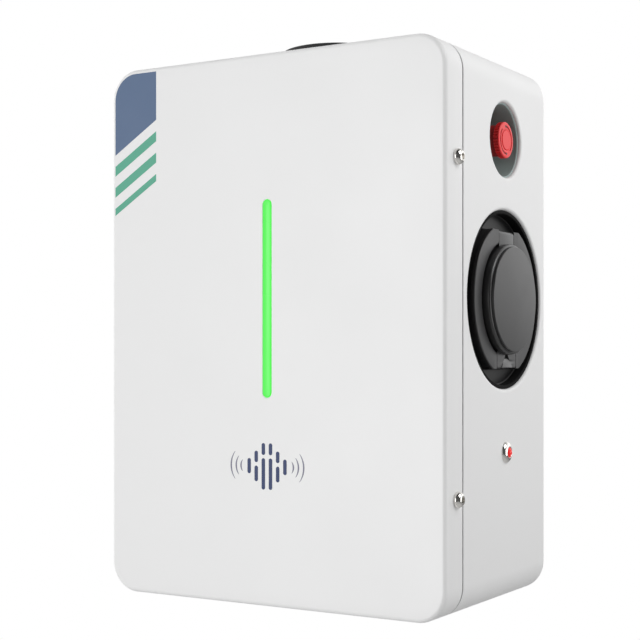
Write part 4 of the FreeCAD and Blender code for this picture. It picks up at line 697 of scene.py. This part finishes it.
def makeSign():
    bars = []
    half = signMark["width"] / 2
    angle = np.linspace(0, math.pi, 13)
    cap = np.stack([np.cos(angle), np.sin(angle)], axis=-1) * half
    for place, foot, top in signMark["bars"]:
        for side in (-1, 1):
            x, z = side * place * signMark["pitch"], signMark["middle"]
            bars.append(np.concatenate([cap + (x, z + top - half), -cap + (x, z + foot + half)]))
    makePiece("sign_bars", onFront(bars), "navyInk")
    arcs = []
    share = np.linspace(-1, 1, 25)
    angle = share * math.radians(signMark["arcHalf"])
    thick = signMark["arcWidth"] / 2 * np.cos(share * signMark["taper"])
    for place, tall in signMark["arcs"]:
        radius = tall / 2 / math.sin(angle[-1])
        for side in (-1, 1):
            ways = np.stack([side * np.cos(angle), np.sin(angle)], axis=-1)
            middle = np.array([side * (place - radius), signMark["middle"]])
            outer = middle + ways * (radius + thick[:, None])
            inner = middle + ways * (radius - thick[:, None])
            line = np.concatenate([outer, inner[::-1]])
            arcs.append(line if side > 0 else line[::-1])
    makePiece("sign_arcs", onFront(arcs), "greyInk")


cornerPrint = {
    "left": -129.4, "right": -92.9, "top": 181.9, "round": 17.9, "panel": 34, "slope": 0.62,
    "bands": ((8, 7), (23, 7), (38, 5)),    # distance below the panel, and thickness
}


def makeCornerPrint():
    # a panel that follows the box's corner, over slanting bands
    left, right, top = cornerPrint["left"], cornerPrint["right"], cornerPrint["top"]
    drop = (right - left) * cornerPrint["slope"]
    foot = top - cornerPrint["panel"]
    panel = softened([
        (left, top, cornerPrint["round"]), (left, foot - drop), (right, foot), (right, top),
    ], 12, closed=True)
    makePiece("corner_panel", onFront([panel]), "blueInk")
    bands = []
    for below, thick in cornerPrint["bands"]:
        high = foot - below
        bands.append(np.array([
            (left, high - drop), (left, high - drop - thick), (right, high - thick), (right, high),
        ], float))
    makePiece("corner_bands", onFront(bands), "greenInk")


makeSign()
makeCornerPrint()
print("prints: sign and corner")


coverScrew = {
    "across": 132.5, "depth": -144.3, "up": 107.8, "radius": 5.25, "head": 4.2, "foot": 0.7,
    "dome": 4, "face": 2.9, "hex": 2.0, "hexDepth": 2.0, "shank": 3, "end": -6,
}


def hexRadius(angle, half):
    # the distance from the middle to a hexagon's flats in each direction
    return half / np.cos((angle + math.pi / 6) % (math.pi / 3) - math.pi / 6)


def makeScrews():
    size = coverScrew
    radius, head, foot, shank = size["radius"], size["head"], size["foot"], size["shank"]
    low = head - size["hexDepth"]
    dome = joined(
        [(0, size["end"]), (shank, size["end"]), (shank, 0)],
        softened([(radius, 0), (radius, 0.5, 0.2), (radius, foot)], 3),
        bowed((radius, foot), (size["face"], head), size["dome"], 1, 10),
        [(2.6, head), (2.5, head), (2.4, low), (0, low)],
    )
    # the two rows before the last become the hexagon's rim and foot
    hexRows = np.arange(len(dome) - 3, len(dome) - 1)

    def hexHole(profile, angle):
        change = np.zeros((len(profile), len(angle)))
        change[hexRows] = hexRadius(angle, size["hex"]) - profile[hexRows, :1]
        return change

    surfaces = []
    for side in (-1, 1):
        for end in (-1, 1):
            points, faces = skin(spun(dome, 96, hexHole))
            place = np.stack([
                side * (size["across"] + points[:, 2]), size["depth"] + points[:, 0],
                end * size["up"] + points[:, 1],
            ], axis=-1)
            surfaces.append((place, faces))
    makePiece("cover_screw_heads", surfaces, "chromedSteel", nodes=["cover_screws"])


makeScrews()
print("screws: four button heads")


stop = {
    "up": 128, "head": 12.2, "headDepth": 4.2, "skirt": 10.5, "bore": 7.7, "skirtEnd": -21.5,
    "ribs": 36, "ribDepth": 1.1, "turns": 432, "ring": (6.5, 7.0), "groove": 0.5,
    # two groove arcs: their radii, half their angle and where their middle lies, in degrees
    "arcs": (8.6, 9.7), "arcSpan": 68, "tilt": 20,
    "arrow": (1.1, 2.2),    # half width and length
}


def makeStop():
    up = stop["up"]
    insert = softened([
        (8.1, -30.5), (8.1, -28), (24.15, -28, 2), (24.15, -2.2, 0.95), (25.15, -2.2), (25.15, -3.2),
        (26.15, -3.2), (26.15, -9), (30, -9), (30, -11), (26.15, -11), (26.15, -30.5),
    ], 10, closed=True)
    # the liner's grey finish is painted shade for the recess, with a green-blue cast against the
    # head's red light
    makePiece("stop_recess_liner", [onSide(ringed(insert, 128), up)], "paintedShadeRecessAbs",
              nodes=["stop_insert"])
    collar = softened([
        (3.05, -38), (8, -38), (8, -28), (11.5, -28), (11.5, -26, 0.4), (7, -26), (7, -14),
        (3.05, -14),
    ], 3, closed=True)
    makePiece("stop_guide", [onSide(ringed(collar, 72), up)], "blackNylon",
              nodes=["stop_collar"])

    # head: ribs round the edge, a ring groove round the disc and two groove arcs outside it
    ringIn, ringOut = stop["ring"]
    arcIn, arcOut = stop["arcs"]
    deep = -stop["groove"]
    edge, under, skirt, bore = stop["head"], -stop["headDepth"], stop["skirt"], stop["bore"]
    face = joined(
        [(0, 0.3), (ringIn - 0.4, 0.3)],
        softened([(ringIn - 0.4, 0.3), (ringIn, 0.3, 0.15), (ringIn, deep)], 3)[1:],
        [(ringIn, deep), (ringOut, deep)],
        softened([(ringOut, deep), (ringOut, 0, 0.15), (arcIn - 0.1, 0)], 3)[1:],
        [(arcIn, 0), (arcIn + 0.05, 0), (arcOut - 0.05, 0), (arcOut, 0), (arcOut + 0.1, 0)],
        softened([(arcOut + 0.2, 0), (edge, 0, 0.9), (edge, -2)], 5)[1:],
        [(edge, -2.4), (edge, -2.8), (edge, -3.2)],
        softened([(edge, -3.3), (edge, under, 0.5), (skirt, under)], 4)[1:],
        [(bore, under), (bore, -8.5), (3.05, -8.5), (3.05, -5), (0, -5)],
    )

    def ribs(profile, angle):
        # notches where a cosine of the angle is high, fading out towards the face and the underside
        radius, height = profile[:, :1], profile[:, 1:]
        fade = np.clip((-height - 0.7) / 0.6, 0, 1) * np.clip((height - under) / 0.6, 0, 1)
        fade = fade * (radius > skirt + 0.5)
        wave = np.clip(np.cos(stop["ribs"] * angle) * 1.6 + 0.2, 0, 1)
        return -stop["ribDepth"] * fade * wave[None]

    grid = spun(face, stop["turns"], ribs)
    angle = np.degrees(np.linspace(0, 2 * np.pi, stop["turns"], endpoint=False))
    radius = np.hypot(grid[..., 0], grid[..., 1])
    inArc = np.abs((angle + 90 - stop["tilt"]) % 180 - 90) < stop["arcSpan"]
    groove = (radius > arcIn + 0.02) & (radius < arcOut - 0.02) & (grid[..., 2] > -0.1)
    grid[..., 2] = np.where(inArc[None] & groove, deep, grid[..., 2])
    makePiece("stop_button", [onSide(skin(grid), up)], "stopRedAbs",
              body="stop_head", nodes=["stop_head"], sharp=28)
    # the skirt is its own piece so that it can take the deeper red of painted shade
    ring = softened([
        (bore - 0.05, -3.8), (skirt, -3.8), (skirt, stop["skirtEnd"], 0.5),
        (bore - 0.05, stop["skirtEnd"]),
    ], 4, closed=True)
    makePiece("stop_skirt", [onSide(ringed(ring, 96), up)], "paintedShadeSkirtRedAbs",
              body="stop_head")

    # dark paint in the groove arcs, each ending in an arrow head
    bands, arrows = [], []
    half, reach = stop["arrow"]
    middle = (arcIn + arcOut) / 2
    for start in (stop["tilt"], stop["tilt"] + 180):
        turn = np.radians(start + np.linspace(2 - stop["arcSpan"], stop["arcSpan"] - 2, 41))
        ways = np.stack([np.cos(turn), np.sin(turn)], axis=-1)
        line = np.concatenate([ways * (arcOut - 0.1), (ways * (arcIn + 0.1))[::-1]])
        bands.append(stacked(line, [(0, deep - 0.05), (0, deep + 0.03)]))
        turn = math.radians(start + stop["arcSpan"] + 1)
        way = np.array([math.cos(turn), math.sin(turn)])
        ahead = np.array([-way[1], way[0]])
        line = np.array([way * (middle - half), way * (middle + half), way * middle + ahead * reach])
        arrows.append(stacked(line, [(0, -0.1), (0, 0.03)]))
    makePiece("stop_marks", [onSide(mark, up) for mark in bands + arrows], "stopDarkInk",
              body="stop_head")


makeStop()
print("emergency stop")


socket = {
    "up": 20.3, "cupOuter": 60.2, "cupInner": 57.7, "cupDepth": 18, "cupFront": 1.4,
    "cupHole": 36, "cupFloor": 2.5,
    "lip": (2.6, -5.7, -3.2),      # the cup's lip behind the wall: width, back and front
    "shelf": 47.1, "shelfDepth": 8.5, "shelfRound": 1.4,
    "flange": 51.1, "flat": 46.6, "proud": 0.3, "well": 38.3, "wellDepth": 5, "body": 50.5,
    "plate": 2.9, "bore": 35.1, "rimRound": 2.0, "notchDepth": 8.2,
    "notches": (12.4, 15.9),       # half widths above and below
    "cells": 20,                   # along each flat and each arc of the flange's rows
}


def makeCup():
    up, inner, outer = socket["up"], socket["cupInner"], socket["cupOuter"]
    hole, deep, front = socket["cupHole"], -socket["cupDepth"], -socket["cupFront"]
    under = deep - socket["cupFloor"]
    lip, lipBack, lipFront = socket["lip"]
    wall = softened([
        (hole, under), (outer, under), (outer, lipBack), (outer + lip, lipBack),
        (outer + lip, lipFront), (outer, lipFront), (outer, front, 0.4), (inner, front, 0.8),
        (inner, deep, 1), (hole, deep),
    ], 4, closed=True)
    # the well's darker black is painted shade
    makePiece("socket_well", [onSide(ringed(wall, 192), up)], "paintedShadeWellNylon",
              nodes=["socket_cup"])
    # above and below the flange a shelf fills the segment between a level line and the wall, and
    # meets the wall in a quarter round
    reach = inner + 0.4
    half = math.sqrt(reach ** 2 - socket["shelf"] ** 2)
    along = np.sin(np.linspace(-math.pi / 2, math.pi / 2, 49)) * half
    rim = np.sqrt(np.maximum(reach ** 2 - along ** 2, socket["shelf"] ** 2))
    share = np.sin(np.linspace(0, math.pi / 2, 25))[:, None]
    high = socket["shelf"] + share * (rim - socket["shelf"])[None]
    wide = np.broadcast_to(along, high.shape)
    turn = socket["shelfRound"]
    past = np.clip((np.hypot(wide, high) - reach + turn) / turn, 0, 1)
    top = np.stack([wide, high, turn * (1 - np.sqrt(1 - past ** 2)) - socket["shelfDepth"]], axis=-1)
    ends = [edge.copy() for edge in (top[:1], top[-1:])]
    for edge in ends:
        edge[..., 2] = deep + 0.2
    grid = np.concatenate([ends[0], top, ends[1]])
    shelves = [onSide(skin(grid * (1, side, 1), closeRows=True, closeCols=False), up)
               for side in (-1, 1)]
    # the shelves take the well's darker black, painted shade, with more shine
    makePiece("socket_shelves", shelves, "paintedShadeShelfNylon")


def flangeRow(radius, flat):
    # one row of the flange's right half, from the top notch round to the bottom one: a circle cut
    # off by two level flats; the flat's columns end above the same point in every row
    quarters = []
    count = socket["cells"]
    corner = math.sqrt(socket["flange"] ** 2 - socket["flat"] ** 2)
    for notch in socket["notches"]:
        across = np.linspace(notch, corner, count + 1)
        turn = np.linspace(math.asin(corner / radius), math.pi / 2, count + 1)[1:]
        quarters.append(np.concatenate([
            np.stack([across, np.minimum(flat, np.sqrt(radius ** 2 - across ** 2))], axis=-1),
            radius * np.stack([np.sin(turn), np.cos(turn)], axis=-1),
        ]))
    return np.concatenate([quarters[0], (quarters[1] * (1, -1))[-2::-1]])


def makeFlange():
    up, deep, floor = socket["up"], -socket["cupDepth"], -socket["wellDepth"]
    proud, flat, wide = socket["proud"], socket["flat"], socket["flange"]
    bore, body, well = socket["bore"], socket["body"], socket["well"]
    under = proud - socket["plate"]
    rows = [(bore, flat, floor), (bore, flat, deep), (body, flat, deep), (body, flat, under),
            (wide, flat, under)]
    rows += [(wide - inset, flat - min(inset, 0.3), height) for inset, height in
             softened([(0, under), (0, proud - 0.5, 0.25), (0.5, proud, 0.25), (2, proud)], 3)[1:-1]]
    rows += [(radius, flat, height) for radius, height in
             softened([(42, proud), (well, proud, socket["rimRound"]), (well, floor)], 10)[1:]]
    levels = []
    for radius, level, height in rows:
        line = flangeRow(radius, level)
        levels.append(np.concatenate([line, np.full((len(line), 1), height)], axis=1))
    grid = np.stack(levels)
    surfaces = [onSide(sideCapped(grid * (side, 1, 1)), up) for side in (-1, 1)]
    # the floors of the two notches
    top = -socket["notchDepth"]
    for side, notch in zip((1, -1), socket["notches"]):
        across = np.linspace(-notch - 0.2, notch + 0.2, 17)
        near = np.sqrt(bore ** 2 - across ** 2)
        far = np.minimum(flat, np.sqrt(body ** 2 - across ** 2))
        surfaces.append(onSide(sideCapped(np.stack([
            np.stack([across, side * high, np.full_like(across, height)], axis=-1)
            for high, height in ((near, top), (far, top), (far, deep), (near, deep))
        ])), up))
    makePiece("socket_surround", surfaces, "flangeGreyNylon",
              nodes=["socket_flange"], sharp=34)


lid = {
    "radius": 37.25, "proud": 7, "dome": 1.4, "edge": 0.6, "foot": -3.5, "arm": 12, "tab": 15.5,
    "hollow": 31, "shell": 3, "root": 2.5, "end": 46.2, "tabCorner": 2.2, "tabEdge": 0.8,
    # the face's disc stands on a ring with a round shoulder
    "disc": 35.35, "shoulder": 5.0, "round": 1.7,
    # half width and height at the tab's end, half width and depth by the lid
    "wedge": (9.2, 0.6, 1.8, 2.6),
}


def tabSkin(inner, proud):
    # the tab as rows of section outlines from inside the lid to the tab's rounded end; the finger
    # wedge starts as a hollow by the lid, widens and rises above the tab's face
    half, foot = lid["tab"], lid["foot"] + 0.05
    endHalf, endHigh, rimHalf, rimDeep = lid["wedge"]
    start, end, corner, edge = lid["radius"], lid["end"], lid["tabCorner"], lid["tabEdge"]
    places = np.concatenate([
        [inner, start - 0.6, start - 0.59], np.linspace(start - 0.55, end - corner, 15),
        end - corner + corner * np.sin(np.linspace(0, math.pi / 2, 13))[1:],
    ])
    rows = []
    for place in places:
        share = np.clip((place - start) / (end - start), 0, 1)
        wide = rimHalf + (endHalf - rimHalf) * share
        deep = (rimDeep * (1 - share) ** 3 - endHigh * share) * (place > start - 0.595)
        # near the end the edge falls along a quarter circle and the sides draw in along a
        # quarter ellipse
        drop = edge * (1 - math.sqrt(1 - (max(place - end + edge, 0) / edge) ** 2))
        side = half - 2 * (1 - math.sqrt(1 - (max(place - end + corner, 0) / corner) ** 2))
        level = proud - drop
        floor = level - deep
        section = [(side, foot), (side, level - 0.25), (side - 0.25, level), (wide + 0.06, level),
                   (wide, level - 0.1 * deep), (wide - 0.05, level - 0.9 * deep), (wide - 0.2, floor)]
        rows.append([(x, -place, z) for x, z in section] + [(-x, -place, z) for x, z in section[::-1]])
    return endCapped(np.array(rows))


def makeLid():
    up = socket["up"]
    radius, top = lid["radius"], lid["proud"]
    disc, shoulder = lid["disc"], lid["shoulder"]
    hollow, roof, foot = lid["hollow"], top - lid["shell"], lid["foot"]
    rim = disc - lid["edge"]
    # the radius of a dome of this rise over the disc
    bulge = (rim ** 2 + lid["dome"] ** 2) / (2 * lid["dome"])
    profile = joined(
        [(0, roof)], softened([(0, roof), (hollow, roof, 1), (hollow, foot)], 4)[1:],
        softened([(hollow, foot), (radius, foot, 0.4), (radius, shoulder, lid["round"]),
                  (disc, shoulder), (disc, top, lid["edge"]), (rim - 1, top)], 10)[1:-1],
        bowed((rim, top), (0, top + lid["dome"]), bulge, 1, 18),
    )
    surfaces = [onSide(skin(spun(profile, 192)), up)]
    # the arm above is drawn in the up-out plane and run across; the tab lies below
    inner, end, proud = radius - lid["root"], lid["end"], socket["proud"]
    arm = softened([
        (inner, -3.3), (radius, -3.5), (40.5, -5.5), (end, -5.5, 0.5), (end, proud, 2.4),
        (inner, proud),
    ], 8, closed=True)
    run = softened([(2, -lid["arm"]), (0, -lid["arm"], 0.3), (0, lid["arm"], 0.3), (2, lid["arm"])], 3)
    run = np.array([point for point in run if point[0] < 0.31])
    points, faces = stacked(arm, run)
    surfaces.append(onSide((points[:, [2, 0, 1]], faces), up))
    surfaces.append(onSide(tabSkin(inner, proud), up))
    makePiece("charge_lid", surfaces, "lidGreyNylon", body="lid",
              nodes=["socket_lid"], sharp=30)


makeCup()
makeFlange()
makeLid()
print("charging socket")


lampSize = {
    "up": -82.6, "bezel": 7.3, "proud": 2.8, "barrel": 6, "lens": 3.4, "rise": 1.8, "play": 0.1,
    "edge": 0.4, "dome": 4.3, "lip": 0.3, "sunk": 0.6, "end": -12, "lensEnd": -10,
}


def makeLamp():
    size = lampSize
    lens, barrel, rim, proud = size["lens"], size["barrel"], size["bezel"], size["proud"]
    bore, edge, end = lens + size["play"], size["edge"], size["end"]
    bezel = joined(
        [(bore, end), (barrel, end), (barrel, 0), (rim, 0), (rim, edge)],
        bowed((rim, edge), (lens + 0.6, proud), size["dome"], 1, 8),
        softened([(lens + 0.5, proud), (bore, proud, size["lip"]), (bore, 0)], 3)[1:-1],
    )
    makePiece("lamp_rim", [onSide(ringed(bezel, 96), size["up"])], "chromedSteel",
              nodes=["lamp_bezel"])
    foot, rise = proud - size["sunk"], size["rise"]
    dome = joined([(0, size["lensEnd"]), (lens, size["lensEnd"])],
                  bowed((lens, foot), (0, foot + rise), (lens ** 2 + rise ** 2) / (2 * rise), 1, 10))
    makePiece("lamp_dome", [onSide(skin(spun(dome, 64)), size["up"])], "lampRedAcrylic",
              nodes=["lamp_lens"])


antennaSize = {
    "up": 185, "radius": 41, "high": 15.7, "edge": 4, "foot": 1.2, "stud": 8, "end": -14,
}


def makeAntenna():
    # a stud through the housing, a foot and the puck with its rounded top edge
    size = antennaSize
    radius, high, foot, stud = size["radius"], size["high"], size["foot"], size["stud"]
    puck = softened([
        (0, size["end"]), (5, size["end"]), (stud, size["end"]), (stud, 0), (radius - foot, 0),
        (radius - foot, foot), (radius, foot, 0.3), (radius, high, size["edge"]), (0, high),
    ], 8)
    points, faces = skin(spun(puck, 160))
    makePiece("antenna_puck", [(points + (0, lineY, size["up"]), faces)], "antennaBlackAbs",
              nodes=["antenna"])


glandSize = {"x": -30, "y": -31, "low": -185, "flange": 5, "half": 16.5, "capHalf": 16}


def hexTurn(half, rows):
    # the change from a circle to a hexagon whose corners are chamfered, for the given rows
    def change(profile, angle):
        out = np.zeros((len(profile), len(angle)))
        for row, widest in rows:
            out[row] = np.minimum(hexRadius(angle, half), widest) - profile[row, 0]
        return out
    return change


def makeGland():
    # heights run down from the housing's underside
    place = np.array([glandSize["x"], glandSize["y"], glandSize["low"]])

    def hang(name, profile, turns, ripple, finish, node):
        points, faces = ringed(profile, turns, ripple)
        makePiece(name, [(points * (1, 1, -1) + place, faces)], finish, nodes=[node])

    half, cap, flange = glandSize["half"], glandSize["capHalf"], glandSize["flange"]
    widest = half / math.cos(math.pi / 6)
    profile = [(10.2, -11), (12.5, -11), (12.5, 0), (half, 0), (half, 0.8), (half, flange - 0.8),
               (half, flange), (12.5, flange), (12.5, 16), (10.2, 16)]
    rows = [(3, half + 0.6), (4, widest), (5, widest), (6, half + 0.6)]
    hang("gland_base", profile, 144, hexTurn(half, rows), "blackNylon", "gland_body")
    profile = [(12.6, 6), (cap, 6), (cap, 6.8), (cap, 17.6), (cap - 0.6, 18.6), (13.5, 18.7),
               (13.4, 20.4), (12.7, 21.1), (9.9, 21.1), (9.2, 20.4), (9.2, 16.2), (12.6, 16.2)]
    widest = cap / math.cos(math.pi / 6)
    rows = [(1, cap + 0.6), (2, widest), (3, widest), (4, cap + 0.2)]
    hang("gland_dome", profile, 144, hexTurn(cap, rows), "blackNylon", "gland_cap")
    profile = softened([(8, 4.1), (10.1, 4.1), (10.1, 16.1), (8, 16.1, 0.8)], 4, closed=True)
    hang("gland_ring", profile, 96, None, "blackEpdm", "gland_seal")


makeLamp()
makeAntenna()
makeGland()
print("lamp, antenna and gland")


keptNodes = {
    "zincPlatedSteel": ["wall_bracket", "bracket_screws", "mounting_plate", "plate_screws",
                        "mounting_rail", "board_standoffs", "antenna_nut", "stop_nut", "stop_stem",
                        "flange_screws", "lid_pin", "lid_spring", "lock_pin", "lamp_nut"],
    "solderMaskGreen": ["light_bar_board", "reader_board", "control_board"],
    "moduleGreyNylon": ["contactor", "residual_current_unit", "terminal_block"],
    "blackNylon": ["current_sensor", "gland_nut", "stop_contact_block", "lock_actuator",
                   "socket_insulator", "socket_tube"],
    "silverPlatedBrass": ["socket_contacts"],
    "blackEpdm": ["lid_seal"],
}
for finish, nodes in keptNodes.items():
    for node in nodes:
        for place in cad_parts[node].material_slots:
            place.link = "OBJECT"
            place.material = made[finish]
print("kept solids have their finishes")
